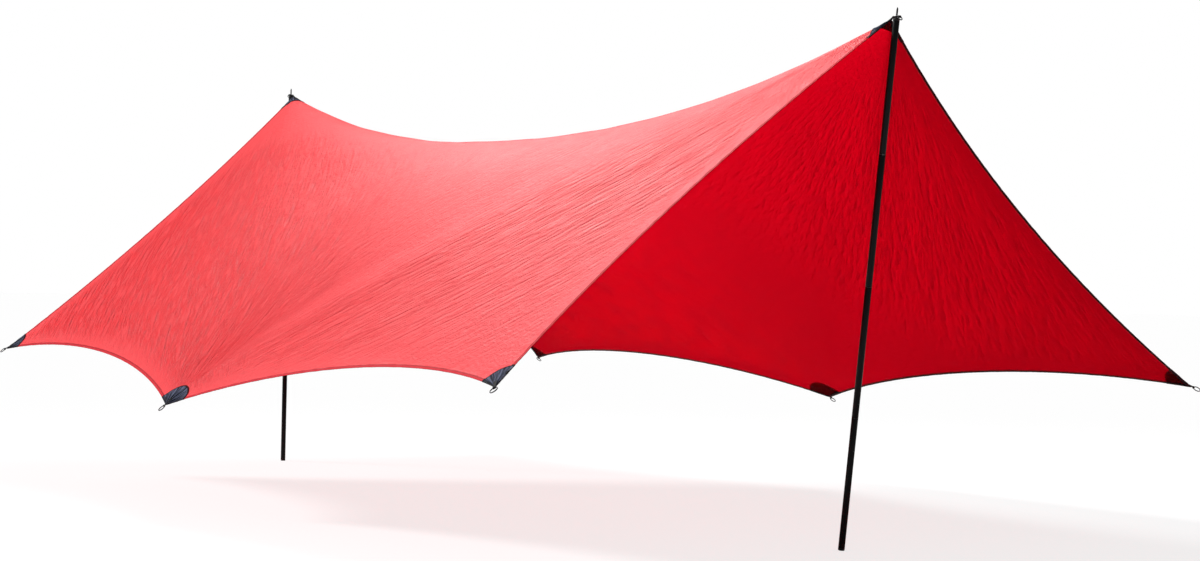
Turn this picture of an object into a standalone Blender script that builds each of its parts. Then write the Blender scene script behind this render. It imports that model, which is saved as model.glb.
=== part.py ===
"""Camping tarp: one tensioned sheet with eight tie-outs, pitched as a saddle roof on two sectional poles.

Metres, +Z up. The ridge runs along X, the front pole stands at +X and the ground is z = 0.
The sheet is found as a net in tension between its tie-outs: every link pulls with a force in proportion to
its length, the hems and four tension lines pull harder, and the net comes to rest where all pulls balance.
Everything sewn to the sheet is a layer over the same facets, so it follows them with an even clearance.
"""

import math

import bpy
import numpy as np
from mathutils import Matrix, Vector

# Clearance between two pieces that touch or are sewn together
GAP = 0.0003

# Tie-out points of the sheet: where its corners and the middles of its sides are held
CORNERS = {
    "rear_left": (-2.437, -1.634, 0.626),
    "rear_right": (-2.459, 1.672, 0.581),
    "front_left": (2.433, -1.709, 0.651),
    "front_right": (2.486, 1.727, 0.632),
}
SIDE_MIDDLES = {
    "mid_left": (0.021, -1.828, 0.466),
    "mid_right": (0.007, 1.862, 0.465),
}

# Poles
POLE_LENGTH = 2.05
POLE_RADIUS = 0.013
POLE_TOP_X = 2.504
FRONT_LEAN = math.radians(7.1)
REAR_LEAN = 0.0
TUBE_WALL = 0.001
TUBE_CHAMFER = 0.0003
TUBE_COUNT = 4
FERRULE_WALL = 0.0012
FERRULE_LENGTH = 0.12
FOOT_HEIGHT = 0.010
FOOT_ROUNDING = 0.0018
FOOT_STUB = 0.030
PLUG_HEAD = 0.008
PLUG_STUB = 0.035
PLUG_DOME_HEIGHT = 0.004
PLUG_LEDGE = 0.0030
PLUG_DOME_RIM = 0.0008
SPIKE_RADIUS = 0.0035
SPIKE_ABOVE_SHOULDER = 0.042
SPIKE_IN_PLUG = 0.024
SPIKE_POINT = 0.007
SPIKE_END_RADIUS = 0.0009

# Sheet, hems and patches
SHEET = 0.0005
HEM_WIDTH = 0.015
HEM_FABRIC = 0.0005
PATCH = 0.0005
PATCH_RADIUS = 0.12
PEAK_PATCH_REACH = 0.068
PATCH_STEPS = 10
HALF_STEPS = 11
END_STEP = 0.055

# Pull of the net's links, as a ratio to that of a link along the ridge
ACROSS_RATIO = 0.116
TENSION_LINE_RATIO = 3.06
# Hems pull a little unequally, as they do where a tarp is pegged by hand: rear and front half of each side hem
SIDE_HEM_RATIOS = {"left": (0.0853, 0.0689), "right": (0.0619, 0.0981)}
# Left and right half of each gable hem
GABLE_HEM_RATIOS = {"rear": (1.98, 1.98), "front": (2.34, 1.80)}

# Straps, rings and eyelets
TAPE = 0.001
STRAP_HALF_WIDTH = 0.0055
STRAP_LEG = 0.040
STRAP_END = 0.010
LEG_ROWS = 4
LOOP_FROM_TIP = 0.009
PEAK_STRAP_MARGIN = 0.002
PEAK_STRAP_LEG = 0.045
PEAK_STRAP_END = 0.008
PEAK_STRAP_LIFT = 0.0006
PEAK_FLAT = 0.011
PEAK_BEND_LENGTH = 0.022
PEAK_BEND_ANGLE = math.radians(24.0)
PEAK_LOOP = 0.016
RING_WIRE = 0.002
RING_RADIUS = 0.015
PEAK_RING_RADIUS = 0.0085
PEAK_RING_DROP = math.radians(50.0)
SPIKE_PLAY = 0.001
EYELET_BARREL = 0.0006
EYELET_FLANGE = 0.004
EYELET_PLATE = 0.0007
EYELET_SEAT_GAP = 0.0009

# Facets
TUBE_SIDES = 20
SPIKE_SIDES = 12
RING_STEPS = 20
WIRE_SIDES = 8

# Sizes that follow
PLUG_DOME_BASE = POLE_RADIUS - PLUG_LEDGE
PLUG_DOME_TOP = SPIKE_RADIUS + PLUG_DOME_RIM
EYELET_HOLE = SPIKE_RADIUS + SPIKE_PLAY
EYELET_RIM = EYELET_HOLE + EYELET_FLANGE
PEAK_STRAP_HALF_WIDTH = EYELET_RIM + PEAK_STRAP_MARGIN
LAYER_ON_SHEET = SHEET / 2 + GAP
PATCH_TOP = LAYER_ON_SHEET + PATCH
HEM_START = PATCH_RADIUS + 3 * GAP
STRAP_BOTTOM = PATCH_TOP + GAP
STRAP_STACK = 2 * TAPE + GAP
EYELET_HEIGHT = STRAP_STACK + 2 * GAP + 2 * EYELET_PLATE
EYELET_LEVEL = PLUG_DOME_HEIGHT + EYELET_SEAT_GAP + EYELET_HEIGHT / 2


def unit(vector):
    return np.asarray(vector, float) / np.linalg.norm(vector)


def clear_scene():
    for item in list(bpy.data.objects):
        bpy.data.objects.remove(item, do_unlink=True)


def finish(name, colour, roughness, metallic):
    """A plain surface for one piece."""
    material = bpy.data.materials.new(name)
    material.use_nodes = True
    shader = next(n for n in material.node_tree.nodes if n.type == "BSDF_PRINCIPLED")
    shader.inputs["Base Color"].default_value = (*colour, 1.0)
    shader.inputs["Roughness"].default_value = roughness
    shader.inputs["Metallic"].default_value = metallic
    return material


FINISHES = {
    "sheet": ((0.72, 0.03, 0.05), 0.75, 0.0),
    "hem": ((0.50, 0.02, 0.03), 0.80, 0.0),
    "patch": ((0.035, 0.038, 0.048), 0.85, 0.0),
    "webbing": ((0.012, 0.012, 0.013), 0.90, 0.0),
    "steel": ((0.55, 0.55, 0.57), 0.32, 1.0),
    "black_steel": ((0.020, 0.020, 0.021), 0.45, 0.6),
    "tube": ((0.015, 0.015, 0.017), 0.38, 0.0),
    "bare_tube": ((0.60, 0.61, 0.62), 0.40, 1.0),
    "plastic": ((0.010, 0.010, 0.011), 0.55, 0.0),
}


def add_piece(name, points, faces, look, smooth=True):
    """One closed mesh object with its own material."""
    mesh = bpy.data.meshes.new(name)
    mesh.from_pydata([tuple(map(float, p)) for p in points], [], [tuple(map(int, f)) for f in faces])
    mesh.validate()
    mesh.polygons.foreach_set("use_smooth", [smooth] * len(mesh.polygons))
    mesh.materials.append(finish(name, *FINISHES[look]))
    mesh.update()
    piece = bpy.data.objects.new(name, mesh)
    bpy.context.scene.collection.objects.link(piece)
    return piece


# Frames of the two poles


def pole_axis(side, lean):
    """The pole's direction from foot to top; side is +1 for the front pole and -1 for the rear one."""
    return np.array([side * math.sin(lean), 0.0, math.cos(lean)])


def pole_shoulder(side, lean):
    """The middle of the plug's shoulder, for a pole whose foot rests with its lowest rim on the ground."""
    return np.array([side * POLE_TOP_X, 0.0, POLE_LENGTH * math.cos(lean) + POLE_RADIUS * math.sin(lean)])


def eyelet_centre(side, lean):
    return pole_shoulder(side, lean) + EYELET_LEVEL * pole_axis(side, lean)


def pole_outward(side, lean):
    """Square to the pole, pointing away from the sheet."""
    axis = pole_axis(side, lean)
    return np.array([side * axis[2], 0.0, -side * axis[0]])


def peak_bend(side, lean):
    """Where the strap leaves the level of the eyelet and bends down to the sheet."""
    return eyelet_centre(side, lean) - PEAK_FLAT * pole_outward(side, lean)


def peak_slope(side):
    """Up the strap's sloping part, from the sheet to the bend."""
    return np.array([side * math.cos(PEAK_BEND_ANGLE), 0.0, math.sin(PEAK_BEND_ANGLE)])


def peak_tip(side, lean):
    """The sheet's own tip, under the strap's sloping part."""
    slope = peak_slope(side)
    up = np.array([-side * slope[2], 0.0, abs(slope[0])])
    return peak_bend(side, lean) - PEAK_BEND_LENGTH * slope - (STRAP_BOTTOM + STRAP_STACK / 2) * up


# The tensioned net


def half_side_marks():
    """Grid lines of one half of a side, from 0 to 1, the same from both ends."""
    return np.concatenate([[0.0], np.linspace(END_STEP, 1 - END_STEP, HALF_STEPS - 1), [1.0]])


def net_links(marks):
    """Every link of the net as (node a, node b, pull)."""
    last = len(marks) - 1
    middle = last // 2
    side_hems = {0: SIDE_HEM_RATIOS["left"], last: SIDE_HEM_RATIOS["right"]}
    gable_hems = {0: GABLE_HEM_RATIOS["rear"], last: GABLE_HEM_RATIOS["front"]}
    steps = np.diff(marks)
    share = np.zeros(last + 1)
    share[:-1] += steps / 2
    share[1:] += steps / 2
    links = []
    for i in range(last + 1):
        for j in range(last + 1):
            if i < last:
                ratio = side_hems[j][i >= middle] if j in side_hems else share[j]
                links.append(((i, j), (i + 1, j), ratio / steps[i]))
            if j < last:
                ratio = gable_hems[i][j >= middle] if i in gable_hems else ACROSS_RATIO * share[i]
                links.append(((i, j), (i, j + 1), ratio / steps[j]))
    for t in range(middle):
        for along in (1, -1):
            for start, across in ((0, 1), (last, -1)):
                a = (middle + along * t, start + across * t)
                b = (middle + along * (t + 1), start + across * (t + 1))
                links.append((a, b, TENSION_LINE_RATIO / steps[middle + t]))
    return links


def tension_net(ties):
    """Positions of all net nodes when the pulls balance; ties maps a grid node to its fixed point."""
    half = half_side_marks()
    marks = np.concatenate([-half[::-1], half[1:]])
    count = len(marks)
    pulls = np.zeros((count * count, count * count))
    for (ai, aj), (bi, bj), pull in net_links(marks):
        a = ai * count + aj
        b = bi * count + bj
        pulls[a, a] += pull
        pulls[b, b] += pull
        pulls[a, b] -= pull
        pulls[b, a] -= pull
    held = np.array([i * count + j for i, j in ties])
    held_points = np.array(list(ties.values()), float)
    free = np.setdiff1d(np.arange(count * count), held)
    points = np.zeros((count * count, 3))
    points[held] = held_points
    points[free] = np.linalg.solve(pulls[np.ix_(free, free)], -pulls[np.ix_(free, held)] @ held_points)
    return points.reshape(count, count, 3)


def meet_patches(net, ties):
    """Slides the first node of every edge beside a tie-out to where the hem starts, clear of the patch."""
    last = len(net) - 1
    for i, j in ties:
        for step_i, step_j in ((1, 0), (-1, 0), (0, 1), (0, -1)):
            a, b = i + step_i, j + step_j
            on_edge = a in (0, last) if step_j else b in (0, last)
            if on_edge and 0 <= a <= last and 0 <= b <= last:
                net[a, b] = point_at_distance(net[i, j], net[a, b], net[a + step_i, b + step_j], HEM_START)
    return net


def point_at_distance(start, near, far, distance):
    """The point of the line start-near-far that is a given distance from its start."""
    to_near = np.linalg.norm(near - start)
    if to_near > distance:
        return start + (near - start) * distance / to_near
    low, high = 0.0, 1.0
    for _ in range(40):
        middle = (low + high) / 2
        if np.linalg.norm(near + middle * (far - near) - start) < distance:
            low = middle
        else:
            high = middle
    return near + low * (far - near)


def add_hem_lines(net):
    """The net with one more row of nodes along each edge, a hem's width in from it."""
    for _ in range(2):
        first = net[:, 0] + HEM_WIDTH * unit_rows(net[:, 1] - net[:, 0])
        last = net[:, -1] + HEM_WIDTH * unit_rows(net[:, -2] - net[:, -1])
        net = np.concatenate([net[:, :1], first[:, None], net[:, 1:-1], last[:, None], net[:, -1:]], axis=1)
        net = net.transpose(1, 0, 2)
    return net


def unit_rows(vectors):
    return vectors / np.linalg.norm(vectors, axis=-1, keepdims=True)


def rising_diagonal(i, j, count):
    """Whether a cell is split from its low corner to its high one, which follows the tension lines."""
    middle = (count - 1) / 2
    return (i + 0.5 > middle) != (j + 0.5 > middle)


def sheet_triangles(count):
    triangles = []
    for i in range(count - 1):
        for j in range(count - 1):
            a, b = i * count + j, (i + 1) * count + j
            c, d = b + 1, a + 1
            if rising_diagonal(i, j, count):
                triangles += [(a, b, c), (a, c, d)]
            else:
                triangles += [(a, b, d), (b, c, d)]
    return np.array(triangles)


def vertex_normals(points, triangles):
    """Unit normals, each facet counted by its angle at the vertex."""
    normals = np.zeros_like(points)
    corners = points[triangles]
    facing = unit_rows(np.cross(corners[:, 1] - corners[:, 0], corners[:, 2] - corners[:, 0]))
    for k in range(3):
        one = unit_rows(corners[:, (k + 1) % 3] - corners[:, k])
        other = unit_rows(corners[:, (k + 2) % 3] - corners[:, k])
        angle = np.arccos(np.clip((one * other).sum(axis=1), -1, 1))
        np.add.at(normals, triangles[:, k], facing * angle[:, None])
    return unit_rows(normals)


def layer(points, normals, faces, low, high):
    """A closed layer between two offsets from a surface."""
    count = len(points)
    solid_points = np.concatenate([points + low * normals, points + high * normals])
    solid_faces = [tuple(reversed(f)) for f in faces]
    solid_faces += [tuple(v + count for v in f) for f in faces]
    edges = {}
    for face in faces:
        for a, b in zip(face, tuple(face[1:]) + (face[0],)):
            edges[(a, b)] = True
    for a, b in edges:
        if (b, a) not in edges:
            solid_faces.append((a, b, b + count, a + count))
    return solid_points, solid_faces


class Sheet:
    """The found surface with its facets, and the grid node of each tie-out."""

    def __init__(self):
        last = 2 * HALF_STEPS
        middle = HALF_STEPS
        nodes = {
            "rear_left": (0, 0),
            "rear_right": (0, last),
            "front_left": (last, 0),
            "front_right": (last, last),
            "mid_left": (middle, 0),
            "mid_right": (middle, last),
            "rear_peak": (0, middle),
            "front_peak": (last, middle),
        }
        held = dict(CORNERS)
        held.update(SIDE_MIDDLES)
        held["front_peak"] = peak_tip(1, FRONT_LEAN)
        held["rear_peak"] = peak_tip(-1, REAR_LEAN)
        ties = {nodes[name]: held[name] for name in nodes}
        grid = add_hem_lines(meet_patches(tension_net(ties), ties))
        self.count = len(grid)
        self.grid = grid
        self.last = self.count - 1
        self.middle = self.last // 2
        self.points = grid.reshape(-1, 3)
        self.triangles = sheet_triangles(self.count)
        self.normals = vertex_normals(self.points, self.triangles)
        self.normal_grid = self.normals.reshape(grid.shape)
        place = {0: 0, middle: self.middle, last: self.last}
        self.nodes = {name: (place[i], place[j]) for name, (i, j) in nodes.items()}

    def tie_frame(self, name):
        """Tip, outward direction, lateral direction and normal of a tie-out, and the directions of its patch's fan."""
        i, j = self.nodes[name]
        tip = self.grid[i, j]
        normal = self.normal_grid[i, j]
        if name in CORNERS:
            inward_i = 2 if i == 0 else i - 2
            inward_j = 2 if j == 0 else j - 2
            first = unit(self.grid[inward_i, j] - tip)
            second = unit(self.grid[i, inward_j] - tip)
            inner = unit(first + second)
        elif name in SIDE_MIDDLES:
            inward_j = 2 if j == 0 else j - 2
            first = unit(self.grid[i - 1, j] - tip)
            second = unit(self.grid[i + 1, j] - tip)
            inner = unit(self.grid[i, inward_j] - tip)
        else:
            inward_i = 2 if i == 0 else i - 2
            first = unit(self.grid[i, j - 1] - tip)
            second = unit(self.grid[i, j + 1] - tip)
            inner = unit(self.grid[inward_i, j] - tip)
        outward = unit(-inner + normal * (inner @ normal))
        lateral = np.cross(normal, outward)
        return tip, outward, lateral, normal, (first, inner, second)

    def facets_near(self, tip, reach):
        """Facets with a vertex or an edge within reach of a point, as lists of (point, normal) corners."""
        corners = self.points[self.triangles]
        centre = corners.mean(axis=1)
        size = np.linalg.norm(corners - centre[:, None], axis=2).max(axis=1)
        near = np.linalg.norm(centre - tip, axis=1) < reach + size
        return [[(self.points[v], self.normals[v]) for v in t] for t in self.triangles[near]]


# Sheet, hems and patches


def build_sheet(sheet):
    points, faces = layer(sheet.points, sheet.normals, [tuple(t) for t in sheet.triangles], -SHEET / 2, SHEET / 2)
    return add_piece("canopy", points, faces, "sheet")


def hem_nodes(sheet, start, end):
    """Grid nodes of the edge between two tie-outs and of the hem line beside it, in the edge's order."""
    (i0, j0), (i1, j1) = sheet.nodes[start], sheet.nodes[end]
    steps = max(abs(i1 - i0), abs(j1 - j0))
    step_i, step_j = (i1 - i0) // steps, (j1 - j0) // steps
    in_i = 0 if step_i else (1 if i0 == 0 else -1)
    in_j = 0 if step_j else (1 if j0 == 0 else -1)
    path = [(i0 + k * step_i, j0 + k * step_j) for k in range(steps + 1)]
    return path, [(i + in_i, j + in_j) for i, j in path]


def hem_stations(sheet, start, end):
    """(edge point, edge normal, inner point, inner normal) along a hem, from patch to patch."""
    edge_nodes, inner_nodes = hem_nodes(sheet, start, end)
    columns = [
        (sheet.grid[e], sheet.normal_grid[e], sheet.grid[n], sheet.normal_grid[n])
        for e, n in zip(edge_nodes, inner_nodes)
    ]
    ends = (columns[0][0], columns[-1][0])
    return [c for c in columns if min(np.linalg.norm(c[0] - end) for end in ends) > 0.999 * HEM_START]


def build_hem(sheet, name, start, end):
    """A binding folded over the edge, with its legs on both faces of the sheet."""
    inner_offset = LAYER_ON_SHEET
    outer_offset = LAYER_ON_SHEET + HEM_FABRIC
    points = []
    stations = hem_stations(sheet, start, end)
    for edge, edge_normal, inner, inner_normal in stations:
        out = unit(edge - inner)
        points += [
            inner + inner_normal * outer_offset,
            edge + edge_normal * outer_offset + out * (GAP + HEM_FABRIC),
            edge - edge_normal * outer_offset + out * (GAP + HEM_FABRIC),
            inner - inner_normal * outer_offset,
            inner - inner_normal * inner_offset,
            edge - edge_normal * inner_offset + out * GAP,
            edge + edge_normal * inner_offset + out * GAP,
            inner + inner_normal * inner_offset,
        ]
    faces = [(0, 1, 6, 7), (1, 2, 5, 6), (2, 3, 4, 5)]
    shift = 8 * (len(stations) - 1)
    faces += [tuple(v + shift for v in reversed(f)) for f in faces]
    from_edge = diagonal_from_edge(sheet, start, end)
    for k in range(len(stations) - 1):
        for side in range(8):
            a = 8 * k + side
            b = 8 * k + (side + 1) % 8
            c, d = b + 8, a + 8
            edge_first = side in (2, 6)
            faces += [(a, d, c), (a, c, b)] if from_edge == edge_first else [(a, d, b), (d, c, b)]
    return make_outward(add_piece(name, points, faces, "hem"))


def diagonal_from_edge(sheet, start, end):
    """Whether the sheet's cells along a hem are split from the edge's node to the next inner one."""
    edge_nodes, inner_nodes = hem_nodes(sheet, start, end)
    cell = np.array(edge_nodes[1:3] + inner_nodes[1:3]).min(axis=0)
    forward = edge_nodes[1] > edge_nodes[0]
    edge_is_low = edge_nodes[1] < inner_nodes[1]
    return (rising_diagonal(*cell, sheet.count) == edge_is_low) == forward


def make_outward(piece):
    """Turns the faces round when the mesh is inside out."""
    mesh = piece.data
    mesh.calc_loop_triangles()
    points = np.array([vertex.co for vertex in mesh.vertices], float)
    points -= points[0]
    corners = points[[tuple(triangle.vertices) for triangle in mesh.loop_triangles]]
    if (corners[:, 0] * np.cross(corners[:, 1], corners[:, 2])).sum() < 0:
        mesh.flip_normals()
    return piece


def clip(polygon, direction, limit, origin):
    """The part of a polygon of (point, normal) corners where (point - origin) . direction is under the limit."""
    kept = []
    for k, (point, normal) in enumerate(polygon):
        before_point, before_normal = polygon[k - 1]
        here = (point - origin) @ direction - limit
        before = (before_point - origin) @ direction - limit
        if (here < 0) != (before < 0):
            share = before / (before - here)
            kept.append((before_point + share * (point - before_point),
                         before_normal + share * (normal - before_normal)))
        if here < 0:
            kept.append((point, normal))
    return kept


def weld(polygons):
    """Shared points, normals and faces of polygons whose corners meet."""
    index, points, normals, faces = {}, [], [], []
    for polygon in polygons:
        face = []
        for point, normal in polygon:
            key = tuple(np.round(point, 6))
            if key not in index:
                index[key] = len(points)
                points.append(point)
                normals.append(normal)
            if index[key] not in face:
                face.append(index[key])
        if len(face) > 2:
            faces.append(tuple(face))
    return np.array(points), np.array(normals), faces


def fan_directions(fan):
    """Unit directions from the first hem over the sheet to the second one."""
    directions = []
    for start, end in zip(fan, fan[1:]):
        angle = math.acos(float(np.clip(start @ end, -1, 1)))
        steps = max(2, round(PATCH_STEPS * angle / math.radians(70)))
        for k in range(steps):
            t = (k + 0.5) / steps
            blend = math.sin((1 - t) * angle) * start + math.sin(t * angle) * end
            directions.append(unit(blend))
    return directions


def patch_cuts(sheet, name):
    """The straight cuts that make a patch's edge, as (direction, distance, origin)."""
    tip, _, _, _, fan = sheet.tie_frame(name)
    cuts = [(direction, PATCH_RADIUS, tip) for direction in fan_directions(fan)]
    if name in CORNERS or name in SIDE_MIDDLES:
        return cuts
    first, inner, second = fan
    ends = (tip + PATCH_RADIUS * first, tip + PATCH_RADIUS * second)
    half_chord = np.linalg.norm(ends[1] - ends[0]) / 2
    bow = PEAK_PATCH_REACH - (sum(ends) / 2 - tip) @ inner
    radius = (half_chord**2 + bow**2) / (2 * bow)
    centre = tip + (PEAK_PATCH_REACH - radius) * inner
    shallow_fan = (unit(ends[0] - centre), inner, unit(ends[1] - centre))
    return cuts + [(direction, radius, centre) for direction in fan_directions(shallow_fan)]


def build_patch(sheet, name):
    """A sector of reinforcing cloth round a tie-out, cut to an arc, on the sheet's outer face.

    At a peak the arc is a shallow one, which reaches less far along the ridge than along the hems.
    """
    polygons = sheet.facets_near(sheet.tie_frame(name)[0], PATCH_RADIUS)
    for direction, distance, origin in patch_cuts(sheet, name):
        clipped = (clip(p, direction, distance, origin) for p in polygons)
        polygons = [p for p in clipped if len(p) > 2]
    points, normals, faces = weld(polygons)
    solid_points, solid_faces = layer(points, normals, faces, LAYER_ON_SHEET, PATCH_TOP)
    return add_piece("patch_" + name, solid_points, solid_faces, "patch")


# Straps: a tape folded round its ring, with both legs sewn to the patch


def surface_at(facets, frame, inward, across):
    """Point and normal of the sheet at a distance in from a tie-out and across its middle line."""
    tip, outward, lateral, normal, _ = frame
    goal = np.array([-inward, across])
    for corners in facets:
        flat = np.array([[(p - tip) @ outward, (p - tip) @ lateral] for p, _ in corners])
        basis = np.array([flat[1] - flat[0], flat[2] - flat[0]]).T
        if abs(np.linalg.det(basis)) < 1e-14:
            continue
        s, t = np.linalg.solve(basis, goal - flat[0])
        if min(s, t, 1 - s - t) >= -1e-9:
            weights = (1 - s - t, s, t)
            point = sum(w * p for w, (p, _) in zip(weights, corners))
            facing = unit(sum(w * n for w, (_, n) in zip(weights, corners)))
            return point, facing
    return tip + outward * goal[0] + lateral * goal[1], normal


ACROSS_STRAP = (-1.0, -0.5, 0.0, 0.5, 1.0)


def leg_insets(leg, end):
    """Distances in from the tie-out of the rows that follow the sheet."""
    return [leg + (end - leg) * k / (LEG_ROWS - 1) for k in range(LEG_ROWS)]


def leg_station(facets, frame, inward, half_width, lift, upper):
    """One row across a leg that follows the sheet: middle points of the tape and its left-hand normals."""
    rise = STRAP_BOTTOM + lift + TAPE / 2 + (TAPE + GAP if upper else 0.0)
    row = []
    for share in ACROSS_STRAP:
        point, facing = surface_at(facets, frame, inward, share * half_width)
        row.append((point + facing * rise, -facing if upper else facing))
    return row


def flat_station(centre, left, lateral, half_width):
    return [(centre + share * half_width * lateral, left) for share in ACROSS_STRAP]


def loop_stations(centre, outward, up, lateral, ring_radius):
    """Rows round the ring's wire, from the lower leg to the upper one."""
    radius = wire_reach(ring_radius) + 1.5 * GAP + TAPE / 2
    rows = []
    for degrees in range(-120, 121, 30):
        angle = math.radians(degrees)
        ray = math.cos(angle) * outward + math.sin(angle) * up
        rows.append(flat_station(centre + radius * ray, -ray, lateral, STRAP_HALF_WIDTH))
    return rows


def ring_sides(ring_radius):
    """From a ring's middle to the outside of its wire, and to the inside of its wire at a strap's edge."""
    return ring_radius + RING_WIRE, math.sqrt((ring_radius - RING_WIRE) ** 2 - STRAP_HALF_WIDTH**2)


def ring_middle(ring_radius):
    """From the hinge line to the ring's middle: the wire keeps evenly round that line within the strap."""
    return sum(ring_sides(ring_radius)) / 2


def wire_reach(ring_radius):
    """How far the bowed wire reaches from the hinge line within the strap."""
    far, near = ring_sides(ring_radius)
    return (far - near) / 2


def strap_solid(name, rows):
    """A tape through rows of (middle, left-hand normal) points, as one closed mesh."""
    points = []
    wide = len(ACROSS_STRAP)
    for row in rows:
        points += [middle - left * TAPE / 2 for middle, left in row]
        points += [middle + left * TAPE / 2 for middle, left in row]
    outline = list(range(wide)) + list(range(2 * wide - 1, wide - 1, -1))
    faces = []
    for k in range(len(rows) - 1):
        for a, b in zip(outline, outline[1:] + outline[:1]):
            faces.append((2 * wide * k + a, 2 * wide * k + b, 2 * wide * (k + 1) + b, 2 * wide * (k + 1) + a))
    for k, end in ((0, False), (len(rows) - 1, True)):
        for a in range(wide - 1):
            quad = (a, a + 1, wide + a + 1, wide + a)
            quad = tuple(2 * wide * k + v for v in quad)
            faces.append(quad if end else tuple(reversed(quad)))
    return make_outward(add_piece(name, points, faces, "webbing"))


def side_strap(sheet, name):
    """The strap of a corner or of a side's middle, and the middle of its loop."""
    frame = sheet.tie_frame(name)
    tip, outward, lateral, normal, _ = frame
    facets = sheet.facets_near(tip, STRAP_LEG)
    half = STRAP_HALF_WIDTH
    low = STRAP_BOTTOM + TAPE / 2
    high = low + TAPE + GAP
    centre = tip + outward * LOOP_FROM_TIP + normal * (low + high) / 2
    insets = leg_insets(STRAP_LEG, STRAP_END)
    rows = [leg_station(facets, frame, inset, half, 0.0, False) for inset in insets]
    rows.append(flat_station(tip + outward * 0.3 * LOOP_FROM_TIP + normal * low, normal, lateral, half))
    rows += loop_stations(centre, outward, normal, lateral, RING_RADIUS)
    rows.append(flat_station(tip + outward * 0.3 * LOOP_FROM_TIP + normal * high, -normal, lateral, half))
    rows += [leg_station(facets, frame, inset, half, 0.0, True) for inset in reversed(insets)]
    strap_solid("strap_" + name, rows)
    return centre, outward, lateral


def peak_strap(sheet, name, side, lean):
    """The longer strap of a peak, level over the pole's plug, with a hole for its eyelet."""
    frame = sheet.tie_frame(name)
    tip, _, lateral, _, _ = frame
    facets = sheet.facets_near(tip, PEAK_STRAP_LEG)
    wide = PEAK_STRAP_HALF_WIDTH
    slope = peak_slope(side)
    slope_up = np.array([-side * slope[2], 0.0, abs(slope[0])])
    flat_out = pole_outward(side, lean)
    axis = pole_axis(side, lean)
    pivot = eyelet_centre(side, lean)
    bend = peak_bend(side, lean)
    bend_up = unit(slope_up + axis)
    half_stack = (TAPE + GAP) / 2
    centre = pivot + PEAK_LOOP * flat_out
    insets = leg_insets(PEAK_STRAP_LEG, PEAK_STRAP_END)
    rows = [leg_station(facets, frame, inset, STRAP_HALF_WIDTH, PEAK_STRAP_LIFT, False) for inset in insets]
    for level in (-1, 1):
        straight = [
            (bend - 0.75 * PEAK_BEND_LENGTH * slope, slope_up, STRAP_HALF_WIDTH),
            (bend, bend_up, wide),
            (pivot, axis, wide),
            (pivot + 0.6 * PEAK_LOOP * flat_out, axis, STRAP_HALF_WIDTH),
        ]
        level_rows = [
            flat_station(middle + level * half_stack * up, -level * up, lateral, half) for middle, up, half in straight
        ]
        if level < 0:
            rows += level_rows
            rows += loop_stations(centre, flat_out, axis, lateral, PEAK_RING_RADIUS)
        else:
            rows += reversed(level_rows)
    rows += [leg_station(facets, frame, inset, STRAP_HALF_WIDTH, PEAK_STRAP_LIFT, True) for inset in reversed(insets)]
    strap = strap_solid("strap_" + name, rows)
    cut_eyelet_hole(strap, name, pivot, axis)
    ring_way = math.cos(PEAK_RING_DROP) * flat_out - math.sin(PEAK_RING_DROP) * axis
    return centre, ring_way, lateral


def cut_eyelet_hole(strap, name, pivot, axis):
    radius = EYELET_HOLE + EYELET_BARREL + GAP
    reach = 3 * STRAP_STACK
    cutter = revolved("hole_" + name, [(0.0, -reach), (radius, -reach), (radius, reach), (0.0, reach)], TUBE_SIDES,
                      "webbing")
    cutter.matrix_world = frame_matrix(pivot, axis)
    cutter.hide_render = True
    cutter.display_type = "WIRE"
    cut = strap.modifiers.new("eyelet_hole", "BOOLEAN")
    cut.operation = "DIFFERENCE"
    cut.solver = "EXACT"
    cut.object = cutter


# Rings and eyelets


def frame_matrix(origin, up, along=None):
    """A placement whose Z is up and whose X is along, or any direction square to up."""
    up = unit(up)
    if along is None:
        along = np.cross((0.0, 1.0, 0.0), up)
    along = unit(along - up * (np.asarray(along) @ up))
    side = np.cross(up, along)
    matrix = Matrix.Identity(4)
    for row in range(3):
        matrix[row][0], matrix[row][1], matrix[row][2], matrix[row][3] = (
            float(along[row]),
            float(side[row]),
            float(up[row]),
            float(origin[row]),
        )
    return matrix


def build_ring(name, radius, look, hinge, way, lateral):
    """A wire ring whose origin is on its hinge line, inside the strap's loop."""
    middle = ring_middle(radius)
    points, faces = [], []
    for k in range(RING_STEPS):
        turn = 2 * math.pi * k / RING_STEPS
        for m in range(WIRE_SIDES):
            round_wire = 2 * math.pi * m / WIRE_SIDES
            reach = radius + RING_WIRE * math.cos(round_wire)
            points.append((middle - reach * math.cos(turn), reach * math.sin(turn), RING_WIRE * math.sin(round_wire)))
            after, beside = (k + 1) % RING_STEPS, (m + 1) % WIRE_SIDES
            faces.append((
                k * WIRE_SIDES + m,
                k * WIRE_SIDES + beside,
                after * WIRE_SIDES + beside,
                after * WIRE_SIDES + m,
            ))
    ring = make_outward(add_piece(name, points, faces, look))
    ring.matrix_world = frame_matrix(hinge, np.cross(way, lateral), way)
    return ring


def revolved(name, profile, sides, look):
    """A solid turned round Z from a profile of (radius, height) points.

    A profile that starts and ends on the axis makes a solid; any other one is closed to a hollow piece.
    """
    rows, points = [], []
    for radius, height in profile:
        if radius == 0.0:
            rows.append([len(points)] * sides)
            points.append((0.0, 0.0, height))
            continue
        rows.append(list(range(len(points), len(points) + sides)))
        for k in range(sides):
            turn = 2 * math.pi * k / sides
            points.append((radius * math.cos(turn), radius * math.sin(turn), height))
    pairs = list(zip(rows, rows[1:]))
    if profile[0][0] > 0.0:
        pairs.append((rows[-1], rows[0]))
    faces = []
    for low, high in pairs:
        for k in range(sides):
            after = (k + 1) % sides
            face = [low[k], low[after], high[after], high[k]]
            faces.append(tuple(dict.fromkeys(face)))
    return make_outward(add_piece(name, points, faces, look))


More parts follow.
